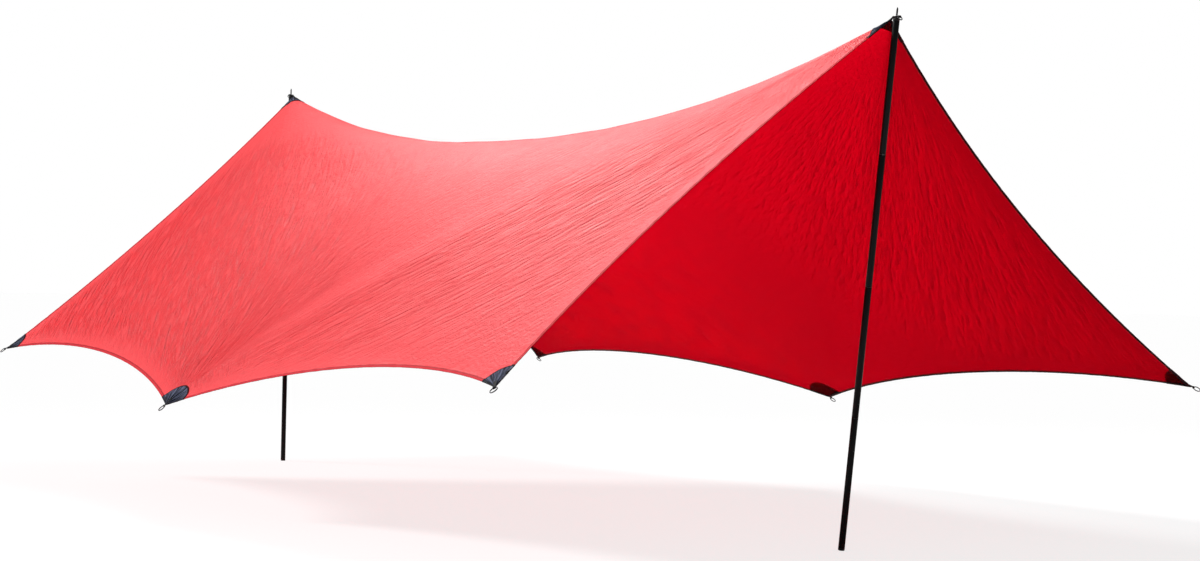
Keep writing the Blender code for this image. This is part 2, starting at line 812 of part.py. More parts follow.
def build_eyelet(name, side, lean):
    """A metal eyelet whose two plates grip the strap round its hole."""
    half_grip = STRAP_STACK / 2 + GAP
    half = EYELET_HEIGHT / 2
    barrel = EYELET_HOLE + EYELET_BARREL
    edge = 0.4 * EYELET_PLATE
    profile = [
        (EYELET_HOLE, -half + edge),
        (EYELET_HOLE + edge, -half),
        (EYELET_RIM - edge, -half),
        (EYELET_RIM, -half + edge),
        (EYELET_RIM, -half_grip),
        (barrel, -half_grip),
        (barrel, half_grip),
        (EYELET_RIM, half_grip),
        (EYELET_RIM, half - edge),
        (EYELET_RIM - edge, half),
        (EYELET_HOLE + edge, half),
        (EYELET_HOLE, half - edge),
    ]
    eyelet = revolved(name, profile, SPIKE_SIDES, "steel")
    eyelet.matrix_world = frame_matrix(eyelet_centre(side, lean), pole_axis(side, lean))
    return eyelet


# Poles: heights are measured along the pole from its foot


def foot_profile():
    stub = POLE_RADIUS - TUBE_WALL - GAP
    return [
        (0.0, 0.0),
        (POLE_RADIUS - FOOT_ROUNDING, 0.0),
        (POLE_RADIUS - 0.3 * FOOT_ROUNDING, 0.3 * FOOT_ROUNDING),
        (POLE_RADIUS, FOOT_ROUNDING),
        (POLE_RADIUS, FOOT_HEIGHT),
        (stub, FOOT_HEIGHT),
        (stub, FOOT_HEIGHT + FOOT_STUB - 2 * TUBE_CHAMFER),
        (stub - 2 * TUBE_CHAMFER, FOOT_HEIGHT + FOOT_STUB),
        (0.0, FOOT_HEIGHT + FOOT_STUB),
    ]


def plug_profile():
    stub = POLE_RADIUS - TUBE_WALL - GAP
    bore = SPIKE_RADIUS + GAP
    top = POLE_LENGTH + PLUG_DOME_HEIGHT
    head = POLE_LENGTH - PLUG_HEAD
    return [
        (0.0, head - PLUG_STUB),
        (stub, head - PLUG_STUB),
        (stub, head),
        (POLE_RADIUS, head),
        (POLE_RADIUS, POLE_LENGTH - 3 * TUBE_CHAMFER),
        (POLE_RADIUS - 3 * TUBE_CHAMFER, POLE_LENGTH),
        (PLUG_DOME_BASE, POLE_LENGTH),
        (0.8 * PLUG_DOME_BASE, POLE_LENGTH + 0.6 * PLUG_DOME_HEIGHT),
        (0.6 * PLUG_DOME_BASE, POLE_LENGTH + 0.9 * PLUG_DOME_HEIGHT),
        (PLUG_DOME_TOP, top),
        (bore, top),
        (bore, top - SPIKE_IN_PLUG),
        (0.0, top - SPIKE_IN_PLUG),
    ]


def spike_profile():
    bottom = POLE_LENGTH + PLUG_DOME_HEIGHT - SPIKE_IN_PLUG + GAP
    tip = POLE_LENGTH + SPIKE_ABOVE_SHOULDER
    return [
        (0.0, bottom),
        (SPIKE_RADIUS, bottom),
        (SPIKE_RADIUS, tip - SPIKE_POINT),
        (0.75 * SPIKE_RADIUS, tip - 0.45 * SPIKE_POINT),
        (SPIKE_END_RADIUS, tip - 0.08 * SPIKE_POINT),
        (0.0, tip),
    ]


def tube_profile(low, high):
    inner = POLE_RADIUS - TUBE_WALL
    return [
        (inner, low),
        (POLE_RADIUS - TUBE_CHAMFER, low),
        (POLE_RADIUS, low + TUBE_CHAMFER),
        (POLE_RADIUS, high - TUBE_CHAMFER),
        (POLE_RADIUS - TUBE_CHAMFER, high),
        (inner, high),
    ]


def ferrule_profile(joint):
    outer = POLE_RADIUS - TUBE_WALL - GAP
    low, high = joint - FERRULE_LENGTH / 2, joint + FERRULE_LENGTH / 2
    return [
        (outer - FERRULE_WALL, low),
        (outer - 2 * TUBE_CHAMFER, low),
        (outer, low + 2 * TUBE_CHAMFER),
        (outer, high),
        (outer - FERRULE_WALL, high),
    ]


def build_pole(where, side, lean):
    """One pole: foot plug, tubes with hidden ferrules, top plug and spike, hung from an empty on its joint."""
    axis = pole_axis(side, lean)
    pivot = eyelet_centre(side, lean)
    joint = bpy.data.objects.new("pole_joint_" + where, None)
    bpy.context.scene.collection.objects.link(joint)
    joint.matrix_world = frame_matrix(pivot, axis)
    drop = Vector((0.0, 0.0, -POLE_LENGTH - EYELET_LEVEL))

    first = FOOT_HEIGHT + GAP
    end = POLE_LENGTH - PLUG_HEAD - GAP
    pitch = (end - first + GAP) / TUBE_COUNT
    pieces = [revolved(f"foot_{where}", foot_profile(), TUBE_SIDES, "plastic")]
    for k in range(TUBE_COUNT):
        low = first + k * pitch
        pieces.append(revolved(f"tube_{where}_{k + 1}", tube_profile(low, low + pitch - GAP), TUBE_SIDES, "tube"))
        if k:
            joint_height = low - GAP / 2
            pieces.append(revolved(f"ferrule_{where}_{k}", ferrule_profile(joint_height), TUBE_SIDES, "bare_tube"))
    pieces.append(revolved(f"plug_{where}", plug_profile(), TUBE_SIDES, "plastic"))
    pieces.append(revolved(f"spike_{where}", spike_profile(), SPIKE_SIDES, "black_steel"))
    for piece in pieces:
        piece.parent = joint
        piece.location = drop


HEMS = {
    "hem_rear_left": ("rear_left", "rear_peak"),
    "hem_rear_right": ("rear_peak", "rear_right"),
    "hem_front_left": ("front_left", "front_peak"),
    "hem_front_right": ("front_peak", "front_right"),
    "hem_left_rear": ("rear_left", "mid_left"),
    "hem_left_front": ("mid_left", "front_left"),
    "hem_right_rear": ("rear_right", "mid_right"),
    "hem_right_front": ("mid_right", "front_right"),
}


def main():
    clear_scene()
    sheet = Sheet()
    build_sheet(sheet)
    for name, (start, end) in HEMS.items():
        build_hem(sheet, name, start, end)
    for name in sheet.nodes:
        build_patch(sheet, name)
    for name in list(CORNERS) + list(SIDE_MIDDLES):
        build_ring("ring_" + name, RING_RADIUS, "steel", *side_strap(sheet, name))
    for where, side, lean in (("front", 1, FRONT_LEAN), ("rear", -1, REAR_LEAN)):
        peak = where + "_peak"
        build_ring("ring_" + peak, PEAK_RING_RADIUS, "black_steel", *peak_strap(sheet, peak, side, lean))
        build_eyelet("eyelet_" + where, side, lean)
        build_pole(where, side, lean)


main()
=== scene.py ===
"""Looks of the camping tarp: its tensioned, wrinkled cloth, hems, patches, straps, rings and poles.

The cloth is found as a fine net in tension between its eight tie-outs, and all that is sewn on follows it.
Metres, +Z up, ridge along X, front pole at +X.
"""

import math

import bmesh
import bpy
import numpy as np
from mathutils import Matrix, Vector


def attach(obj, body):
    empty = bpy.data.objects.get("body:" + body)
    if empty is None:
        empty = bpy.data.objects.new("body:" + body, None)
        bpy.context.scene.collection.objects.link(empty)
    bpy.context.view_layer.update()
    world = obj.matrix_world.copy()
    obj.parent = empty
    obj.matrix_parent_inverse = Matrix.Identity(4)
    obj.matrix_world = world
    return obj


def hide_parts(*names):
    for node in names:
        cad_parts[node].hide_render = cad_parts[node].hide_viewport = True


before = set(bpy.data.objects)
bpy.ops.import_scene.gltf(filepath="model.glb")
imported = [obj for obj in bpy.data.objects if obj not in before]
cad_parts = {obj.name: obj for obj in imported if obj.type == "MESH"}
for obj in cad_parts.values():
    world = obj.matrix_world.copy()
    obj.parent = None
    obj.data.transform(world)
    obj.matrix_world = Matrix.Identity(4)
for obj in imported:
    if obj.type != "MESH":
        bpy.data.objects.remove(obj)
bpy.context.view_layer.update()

# Tie-outs of the sheet, apart from the two at the pole tops
TIES = {
    "rear_left": (-2.437, -1.634, 0.626),
    "rear_right": (-2.459, 1.672, 0.581),
    "front_left": (2.433, -1.709, 0.651),
    "front_right": (2.486, 1.727, 0.632),
    "mid_left": (0.021, -1.828, 0.466),
    "mid_right": (0.007, 1.862, 0.465),
}
CORNERS = ("rear_left", "rear_right", "front_left", "front_right")
HEMS = {
    "hem_rear_left": ("rear_left", "rear_peak"),
    "hem_rear_right": ("rear_peak", "rear_right"),
    "hem_front_left": ("front_left", "front_peak"),
    "hem_front_right": ("front_peak", "front_right"),
    "hem_left_rear": ("rear_left", "mid_left"),
    "hem_left_front": ("mid_left", "front_left"),
    "hem_right_rear": ("rear_right", "mid_right"),
    "hem_right_front": ("mid_right", "front_right"),
}

# Pull of the net's links, as a ratio to that of a link along the ridge
ACROSS = 0.116
SIDE_HEMS = {"left": (0.0853, 0.0689), "right": (0.0619, 0.0981)}
GABLE_HEMS = {"rear": (1.98, 1.98), "front": (2.34, 1.80)}
TENSION_LINE = 3.06
HALF_STEPS = 140
BUNCHING = 0.45

# Cloth; its fine wrinkles run in four fields, each with its own UV layer
SIDE_LENGTH = 5.0
GABLE_LENGTH = 4.45
SHEET = 0.0006
FIELDS = ("rear", "side", "inner", "low")
FINE_SIZES = {"rear": (0.022, 0.20), "side": (0.022, 0.16), "inner": (0.020, 0.14), "low": (0.022, 0.16)}
FOLD_SIZES = {
    "rear": (0.070, 0.50, 0.0038),
    "side": (0.085, 0.60, 0.0040),
    "inner": (0.075, 0.45, 0.0034),
    "low": (0.090, 0.70, 0.0026),
}
HEM_WIDTH = 0.015
HEM_LIFT, HEM_CLOTH = 0.0005, 0.0006
HEM_PITCH = 0.009
HEM_OVERLAP = 0.004
PATCH_RADIUS = 0.12
PEAK_PATCH_REACH = 0.068
PATCH_BOTTOM = 0.0006
PATCH_TOP = 0.0014
PATCH_RINGS = 26
PATCH_GATHER = 0.0022
PATCH_BORDER = 0.0005
EDGE_LIFT, EDGE_CLOTH = 0.0013, 0.0007
EDGE_PITCH = 0.006
EDGE_START = 0.004
STITCH_PITCH = 0.004
PATCH_STITCH_PITCH = 0.005

# Poles
GAP = 0.0003
POLE_LENGTH = 2.05
POLE_RADIUS = 0.013
POLE_TOP_X = 2.504
TUBE_WALL = 0.001
FOOT_HEIGHT = 0.010
FOOT_STUB = 0.03
PLUG_HEAD = 0.008
PLUG_STUB = 0.035
DOME_HEIGHT = 0.004
SPIKE_RADIUS = 0.0035
SPIKE_ABOVE = 0.042
SPIKE_SEAT = 0.024
EYELET_LEVEL = 0.00705
EYELET_HOLE = 0.0045
EYELET_RIM = 0.0085
EYELET_HALF = 0.00215
EYELET_GRIP = 0.00145

# Straps and rings
TAPE = 0.0011
TAPE_GAP = 0.0002
ACROSS_TAPE = np.linspace(-1, 1, 7)
LEG = np.linspace(0.040, 0.008, 9)
PEAK_LEG = np.linspace(0.045, 0.010, 9)
STRAP_HALF = 0.0055
STRAP_BOTTOM = 0.0022
STRAP_HOLE = 0.0054
RING_WIRE = 0.002
RING_WELD = math.radians(205)
RING_RADIUS = 0.015
PEAK_RING_RADIUS = 0.0085
PEAK_RING_REACH = 0.016
PEAK_RING_DROP = math.radians(50)
LOOP_FROM_TIP = 0.009
LOOP_THROAT = 0.0027
LOOP_HEIGHT = 0.0025
LOOP_GAP = 0.0004
PEAK_FLAT = 0.011
PEAK_BEND_LENGTH = 0.022
PEAK_BEND_ANGLE = math.radians(24.0)
STRAP_RISE = 0.0025

# Share of plain white that the camera sees in the floor, so that the shadow on it stays faint
FLOOR_WHITE = 0.78
FLOOR_SIZE = 400.0
WHITE = (1.0, 1.0, 1.0)
SUN_STRENGTH = 3.55
SUN_WIDTH = math.radians(12)
SUN_WAY = (-0.62, -0.58, 0.54)
SOFT_LAMP_SIZE = 2.4

# Camera fitted to the photograph
CAMERA_PLACE = (8.7601, -5.6867, 0.9683)
CAMERA_YAW, CAMERA_PITCH, CAMERA_ROLL = (math.radians(a) for a in (55.1944, 0.3716, 1.2076))
CAMERA_LENS = 66.655
SENSOR_WIDTH = 36.0


def unit(vector):
    vector = np.asarray(vector, float)
    return vector / np.linalg.norm(vector, axis=-1, keepdims=True)


def tint(colour, share):
    return tuple(share * part for part in colour)


# Materials


class Look:
    """Builds the nodes of one material or world, with short names for the nodes used here."""

    def __init__(self, name, world=False):
        self.owner = (bpy.data.worlds if world else bpy.data.materials).new(name)
        self.owner.use_nodes = True
        self.tree = self.owner.node_tree
        self.tree.nodes.clear()
        self.out = self.tree.nodes.new("ShaderNodeOutputWorld" if world else "ShaderNodeOutputMaterial")

    def feed(self, socket, value):
        if isinstance(value, bpy.types.NodeSocket):
            self.tree.links.new(value, socket)
        elif value is not None:
            socket.default_value = (*value, 1.0) if socket.type == "RGBA" else value

    def add(self, kind, output, inputs=None, **settings):
        """Adds a node with its settings and inputs, and gives one of its outputs."""
        node = self.tree.nodes.new("ShaderNode" + kind)
        for key, value in settings.items():
            setattr(node, key, value)
        for key, value in (inputs or {}).items():
            self.feed(node.inputs[key], value)
        return node.outputs[output]

    def coords(self, kind="Object", scale=(1, 1, 1)):
        return self.add("Mapping", "Vector", {"Vector": self.add("TexCoord", kind), "Scale": scale})

    def noise(self, vector, scale, detail=2.0, roughness=0.5, distortion=0.0):
        return self.add("TexNoise", "Fac", {"Vector": vector, "Scale": scale, "Detail": detail,
                                            "Roughness": roughness, "Distortion": distortion})

    def weave(self, vector, threads_per_metre):
        """Height of a plain weave: warp and weft threads that cross over and under."""
        warp, weft = (self.add("TexWave", "Fac", {"Vector": vector, "Scale": threads_per_metre},
                               wave_type="BANDS", bands_direction=way) for way in "XY")
        return self.times(warp, weft)

    def math(self, operation, *values):
        return self.add("Math", 0, dict(enumerate(values)), operation=operation)

    def plus(self, a, b):
        return self.math("ADD", a, b)

    def minus(self, a, b):
        return self.math("SUBTRACT", a, b)

    def times(self, a, b):
        return self.math("MULTIPLY", a, b)

    def spread(self, value, low, high, to_low=0.0, to_high=1.0):
        return self.add("MapRange", "Result", {"Value": value, "From Min": low, "From Max": high,
                                               "To Min": to_low, "To Max": to_high})

    def mix(self, share, a, b):
        return self.add("Mix", 2, {0: share, 6: a, 7: b}, data_type="RGBA")

    def bump(self, height, distance, strength=1.0, normal=None):
        return self.add("Bump", "Normal", {"Height": height, "Distance": distance, "Strength": strength,
                                           "Normal": normal})

    def surface(self, **inputs):
        return self.add("BsdfPrincipled", 0, {key.replace("_", " "): value for key, value in inputs.items()})

    def finish(self, shader):
        self.feed(self.out.inputs["Surface"], shader)
        return self.owner


def cloth_look(name, dark, light, through, share, sheen, shine, crease):
    """Coated polyester cloth that lets light through, with fine wrinkles along its lines of pull and painted
    shade in their grooves.
    """
    look = Look(name)
    metres = look.coords("UV")
    patchy = look.noise(metres, 9.0, 4.0, 0.6)
    tone = look.plus(look.times(look.noise(metres, 1.1, 3.0, 0.55), 0.6), look.times(patchy, 0.4))
    colour = look.mix(look.spread(tone, 0.35, 0.65), dark, light)
    colour = look.mix(look.add("NewGeometry", "Backfacing"), colour, (0.02, 0.0, 0.001))
    pull = look.add("VertexColor", "Color", layer_name="pull")
    strengths = [look.add("SeparateColor", part, {0: pull}) for part in range(3)]
    strengths.append(look.add("VertexColor", "Alpha", layer_name="pull"))
    height = look.times(look.noise(metres, 42.0, 4.0, 0.6, 0.5), 0.25)
    painted_groove_shade = 0.0
    for field, strength in zip(FIELDS, strengths):
        streaks = look.noise(look.add("UVMap", 0, uv_map=field), 1.0, 2.5, 0.55, 0.25)
        sharp = look.math("ABSOLUTE", look.minus(streaks, 0.5))
        fold = look.plus(streaks, look.times(sharp, -1.4))
        groove = look.times(look.spread(sharp, 0.0, 0.14, 1.0, 0.0), strength)
        painted_groove_shade = look.math("MAXIMUM", painted_groove_shade, groove)
        height = look.plus(height, look.times(fold, strength))
        height = look.minus(height, look.times(groove, 0.16))
    # Painted shade: the base colour turns a deeper red in the grooves of the fine wrinkles, more so where
    # their field is strong.
    groove_shade_colour = (0.85 * dark[0], 0.2 * dark[1], 0.25 * dark[2])
    creases = look.bump(height, crease)
    cloth = look.surface(
        Base_Color=look.mix(look.times(painted_groove_shade, 0.65), colour, groove_shade_colour),
        Roughness=look.spread(patchy, 0.3, 0.7, 0.50, 0.62),
        Sheen_Weight=sheen,
        Sheen_Roughness=0.4,
        Sheen_Tint=(1.0, 0.85, 0.87),
        Specular_IOR_Level=shine,
        Normal=look.bump(look.weave(metres, 620.0), 0.0002, 0.2, creases),
    )
    glow = look.add("BsdfTranslucent", 0, {"Color": through, "Normal": creases})
    return look.finish(look.add("MixShader", 0, {0: share, 1: cloth, 2: glow}))


def binding_look(name, colour, thread, rows=(0.12, 0.88)):
    """Folded binding cloth with stitches and an underside in the thread's colour; UV x runs along it in
    metres, and y across it from 0 to 1.
    """
    look = Look(name)
    vector = look.coords("UV")
    along, across = (look.add("SeparateXYZ", part, {0: vector}) for part in "XY")
    near = [look.math("COMPARE", across, row, 0.022) for row in rows]
    near = look.math("MAXIMUM", *near)
    dash = look.math("GREATER_THAN", look.math("FRACT", look.times(along, 1 / STITCH_PITCH)), 0.25)
    stitches = look.times(near, dash)
    cloth = look.mix(look.noise(vector, 60.0, 3.0), tint(colour, 0.8), tint(colour, 1.2))
    # The underside near the edge takes the thread's colour: on the red hem this is painted shade, where no
    # light comes through its layers.
    fold = look.times(look.spread(across, 0.46, 0.50), look.spread(across, 0.78, 0.84, 1.0, 0.0))
    pucker = look.bump(look.noise(vector, 90.0, 3.0, 0.6), 0.0012, 0.6)
    return look.finish(look.surface(
        Base_Color=look.mix(stitches, look.mix(fold, cloth, thread), thread),
        Roughness=0.72,
        Specular_IOR_Level=0.06,
        Normal=look.bump(look.minus(stitches, look.times(near, 1.5)), 0.0004, 0.7, pucker),
    ))


def woven_look(name, colour, threads, shine=0.12, rough=0.68, thread=None):
    """Heavy woven stuff; with a thread it is a patch with gathers that carry painted highlights, a border and
    stitches by the UV "rim".
    """
    look = Look(name)
    vector = look.coords("UV")
    tone = look.noise(vector, 140.0, 4.0, 0.6)
    shade = look.mix(tone, tint(colour, 0.72), tint(colour, 1.35))
    soft = look.bump(look.noise(vector, 55.0, 3.0), 0.001, 0.5)
    if thread:
        rim = look.add("UVMap", 0, uv_map="rim")
        angle, inset = (look.add("SeparateXYZ", part, {0: rim}) for part in "XY")
        gathers = look.add("Mapping", 0, {"Vector": rim, "Scale": (5.5, 4.0, 1.0)})
        gather_ridge_and_highlight = look.spread(look.noise(gathers, 1.0, 3.0, 0.6), 0.42, 0.60)
        # Painted highlight: the patch cloth turns far lighter along the ridges of its gathers.
        shade = look.mix(gather_ridge_and_highlight, tint(colour, 0.9), tint(colour, 12.0))
        shade = look.mix(look.spread(inset, 0.0065, 0.0085), (0.0015, 0.0015, 0.0018), shade)
        soft = look.bump(gather_ridge_and_highlight, 0.0035, 1.0, soft)
        row = look.math("COMPARE", inset, 0.0042, 0.0010)
        dash = look.math("FRACT", look.times(angle, PATCH_RADIUS / PATCH_STITCH_PITCH))
        stitches = look.times(row, look.math("GREATER_THAN", dash, 0.3))
        shade = look.mix(stitches, shade, thread)
        soft = look.bump(look.minus(look.times(stitches, 1.6), row), 0.0006, 0.8, soft)
    return look.finish(look.surface(
        Base_Color=shade,
        Roughness=look.spread(tone, 0.3, 0.7, rough, rough + 0.14),
        Specular_IOR_Level=shine,
        Normal=look.bump(look.weave(vector, threads), 0.0004, 0.5, soft),
    ))


def metal_look(name, colour, roughness, metallic=1.0):
    """Metal with fine scratches and duller patches."""
    look = Look(name)
    vector = look.coords("Object")
    marks = look.noise(vector, 420.0, 6.0, 0.7, 0.6)
    dull = look.noise(vector, 45.0, 3.0)
    rough = look.spread(dull, 0.3, 0.7, roughness - 0.05, roughness + 0.07)
    return look.finish(look.surface(
        Base_Color=look.mix(dull, tint(colour, 0.88), colour),
        Metallic=metallic,
        Roughness=look.plus(rough, look.times(marks, 0.08)),
        Normal=look.bump(marks, 0.00008, 0.15),
    ))


def tube_look(name):
    """Black anodised tube: satin, with faint draw lines along it and small scuffs."""
    look = Look(name)
    lines = look.noise(look.coords("Object", (900, 900, 6)), 1.0, 3.0, 0.6)
    worn = look.spread(look.noise(look.coords("Object"), 60.0, 6.0, 0.72, 0.8), 0.60, 0.74)
    return look.finish(look.surface(
        Base_Color=look.mix(worn, (0.003, 0.003, 0.0034), (0.012, 0.012, 0.013)),
        Roughness=look.spread(lines, 0.3, 0.7, 0.30, 0.38),
        Specular_IOR_Level=0.12,
        Normal=look.bump(lines, 0.00005, 0.3),
    ))


def plastic_look(name, colour):
    """Black moulded plastic with a fine grain and a little dirt."""
    look = Look(name)
    dirt = look.noise(look.coords("Object"), 80.0, 5.0, 0.65)
    worn = tuple(part + 0.012 for part in colour)
    return look.finish(look.surface(
        Base_Color=look.mix(look.spread(dirt, 0.45, 0.75), colour, worn),
        Roughness=look.spread(dirt, 0.3, 0.7, 0.5, 0.68),
        Specular_IOR_Level=0.25,
        Normal=look.bump(look.noise(look.coords("Object"), 900.0, 3.0), 0.0001, 0.35),
    ))


LOOKS = {
    "outside": cloth_look("cloth_outside", dark=(0.94, 0.066, 0.078), light=(0.98, 0.092, 0.104),
                          through=(1.0, 0.05, 0.10), share=0.48, sheen=0.02, shine=0.30, crease=0.0260),
    # Painted shade: the inside skin's base colour is a far darker copy of the outside cloth, for a side lit
    # only by light through the sheet.
    "inside": cloth_look("cloth_inside_painted_shade", dark=(0.19, 0.002, 0.007), light=(0.24, 0.002, 0.009),
                         through=(1.0, 0.002, 0.14), share=0.85, sheen=0.0, shine=0.04, crease=0.0150),
    "hem": binding_look("hem_binding", (0.50, 0.018, 0.028), (0.014, 0.002, 0.003)),
    "edge": binding_look("patch_binding", (0.006, 0.006, 0.008), (0.030, 0.003, 0.005)),
    "patch": woven_look("patch_cloth", (0.0105, 0.0115, 0.0180), 900.0, 0.02, 0.62, (0.09, 0.004, 0.008)),
    "webbing": woven_look("webbing", (0.008, 0.008, 0.009), 700.0),
    "steel": metal_look("ring_steel", (0.025, 0.025, 0.027), 0.20),
    "eyelet": metal_look("eyelet_steel", (0.22, 0.22, 0.23), 0.30),
    "spike": metal_look("black_steel", (0.012, 0.012, 0.013), 0.42, 0.6),
    "bare": metal_look("bare_tube", (0.66, 0.67, 0.68), 0.36),
    "tube": tube_look("black_tube"),
    "plastic": plastic_look("black_plastic", (0.008, 0.008, 0.009)),
}


# Meshes


def make(name, points, faces, looks, part=None, **uvs):
    """A smooth mesh object; faces is a list of arrays, and each UV layer has one pair per point."""
    points = np.asarray(points, float).reshape(-1, 3)
    corners = np.concatenate([np.ravel(array) for array in faces]).astype(np.int32)
    sizes = np.concatenate([np.full(len(array), np.shape(array)[1]) for array in faces])
    mesh = bpy.data.meshes.new(name)
    mesh.vertices.add(len(points))
    mesh.vertices.foreach_set("co", points.ravel())
    mesh.loops.add(len(corners))
    mesh.loops.foreach_set("vertex_index", corners)
    mesh.polygons.add(len(sizes))
    mesh.polygons.foreach_set("loop_start", (np.cumsum(sizes) - sizes).astype(np.int32))
    mesh.polygons.foreach_set("use_smooth", np.full(len(sizes), True))
    mesh.update(calc_edges=True)
    for look in looks:
        mesh.materials.append(LOOKS[look])
    if part is not None:
        mesh.polygons.foreach_set("material_index", np.asarray(part, np.int32))
    for key, values in uvs.items():
        layer = mesh.uv_layers.new(name=key)
        layer.data.foreach_set("uv", np.asarray(values, float).reshape(-1, 2)[corners].ravel())
    mesh.validate()
    made = bpy.data.objects.new(name, mesh)
    bpy.context.scene.collection.objects.link(made)
    return made


def set_out(made, node, body):
    """Hides the CAD node that a piece stands in for, and puts the piece on the body that it rides on."""
    if node:
        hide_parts(node)
    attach(made, body)
    return made


def grid_faces(rows, columns, closed_rows=False, closed_columns=False):
    """Quads of a grid of points, rows first; a closed way runs on from its last line to its first."""
    i = np.arange(rows if closed_rows else rows - 1)
    j = np.arange(columns if closed_columns else columns - 1)
    i, j = (m.ravel() for m in np.meshgrid(i, j, indexing="ij"))
    after, beside = (i + 1) % rows * columns, (j + 1) % columns
    return np.stack([i * columns + j, after + j, after + beside, i * columns + beside], -1)


def face_out(made):
    """Turns the faces of a closed, evenly wound mesh outward."""
    mesh = made.data
    mesh.calc_loop_triangles()
    places = np.array([vertex.co for vertex in mesh.vertices])
    corners = places[np.array([triangle.vertices for triangle in mesh.loop_triangles])]
    if np.einsum("ij,ij->i", corners[:, 0], np.cross(corners[:, 1], corners[:, 2])).sum() < 0:
        mesh.flip_normals()
    return made


def wind_evenly(made):
    """Makes all faces of a closed mesh point out, however they are wound."""
    work = bmesh.new()
    work.from_mesh(made.data)
    bmesh.ops.recalc_face_normals(work, faces=work.faces)
    work.to_mesh(made.data)
    work.free()
    return made


def lathe(name, profile, look, sides=48):
    """A turned solid about Z; profile points are (radius, height), from the axis or closed to itself."""
    profile = np.array(profile, float)
    on_axis = profile[0, 0] == 0.0
    turn = 2 * np.pi * np.arange(sides) / sides
    body = profile[1:-1] if on_axis else profile
    height = np.repeat(body[:, 1:], sides, axis=1)
    points = np.stack([body[:, :1] * np.cos(turn), body[:, :1] * np.sin(turn), height], -1).reshape(-1, 3)
    faces = [grid_faces(len(body), sides, not on_axis, True)]
    if on_axis:
        near, tip = np.arange(sides), np.full(sides, len(points))
        after = (near + 1) % sides
        last = len(points) - sides
        faces += [np.stack([tip, near, after], -1), np.stack([tip + 1, last + after, last + near], -1)]
        points = np.concatenate([points, [(0, 0, profile[0, 1]), (0, 0, profile[-1, 1])]])
    return face_out(make(name, points, faces, [look]))


def rounded(points, radius, steps=4):
    """A profile whose inner corners are rounded by up to radius."""
    points = [np.array(p, float) for p in points]
    result = [points[0]]
    for before, here, after in zip(points, points[1:], points[2:]):
        back, on = before - here, after - here
        reach = min(radius, 0.45 * np.linalg.norm(back), 0.45 * np.linalg.norm(on))
        start, end = here + reach * unit(back), here + reach * unit(on)
        for t in np.arange(steps + 1) / steps:
            result.append((1 - t) ** 2 * start + 2 * t * (1 - t) * here + t * t * end)
    return result + [points[-1]]


def place(made, origin, up, along=None):
    """Puts an object at an origin, with its Z up the given way and its X near the other one."""
    up = unit(up)
    along = np.cross((0.0, 1.0, 0.0), up) if along is None else np.asarray(along)
    along = unit(along - up * (along @ up))
    matrix = np.eye(4)
    matrix[:3] = np.stack([along, np.cross(up, along), up, origin], -1)
    made.matrix_world = Matrix(matrix.tolist())
    return made


# The lines of the poles and of the straps on them


class Pole:
    """A pole's foot, axis and eyelet, and the slope of the strap behind it; side is its way along X."""

    def __init__(self, where, side, lean):
        self.where, self.side = where, side
        self.axis = np.array([side * math.sin(lean), 0.0, math.cos(lean)])
        self.outward = np.array([side * math.cos(lean), 0.0, -math.sin(lean)])
        shoulder = POLE_LENGTH * math.cos(lean) + POLE_RADIUS * math.sin(lean)
        shoulder = np.array([side * POLE_TOP_X, 0.0, shoulder])
        self.foot = shoulder - POLE_LENGTH * self.axis
        self.eyelet = shoulder + EYELET_LEVEL * self.axis
        self.bend = self.eyelet - PEAK_FLAT * self.outward
        self.slope = np.array([side * math.cos(PEAK_BEND_ANGLE), 0.0, math.sin(PEAK_BEND_ANGLE)])
        self.slope_up = np.array([-side * math.sin(PEAK_BEND_ANGLE), 0.0, math.cos(PEAK_BEND_ANGLE)])
        self.tip = self.bend - PEAK_BEND_LENGTH * self.slope - STRAP_RISE * self.slope_up


PEAKS = {"front_peak": Pole("front", 1, math.radians(7.1)), "rear_peak": Pole("rear", -1, 0.0)}


# The tensioned net


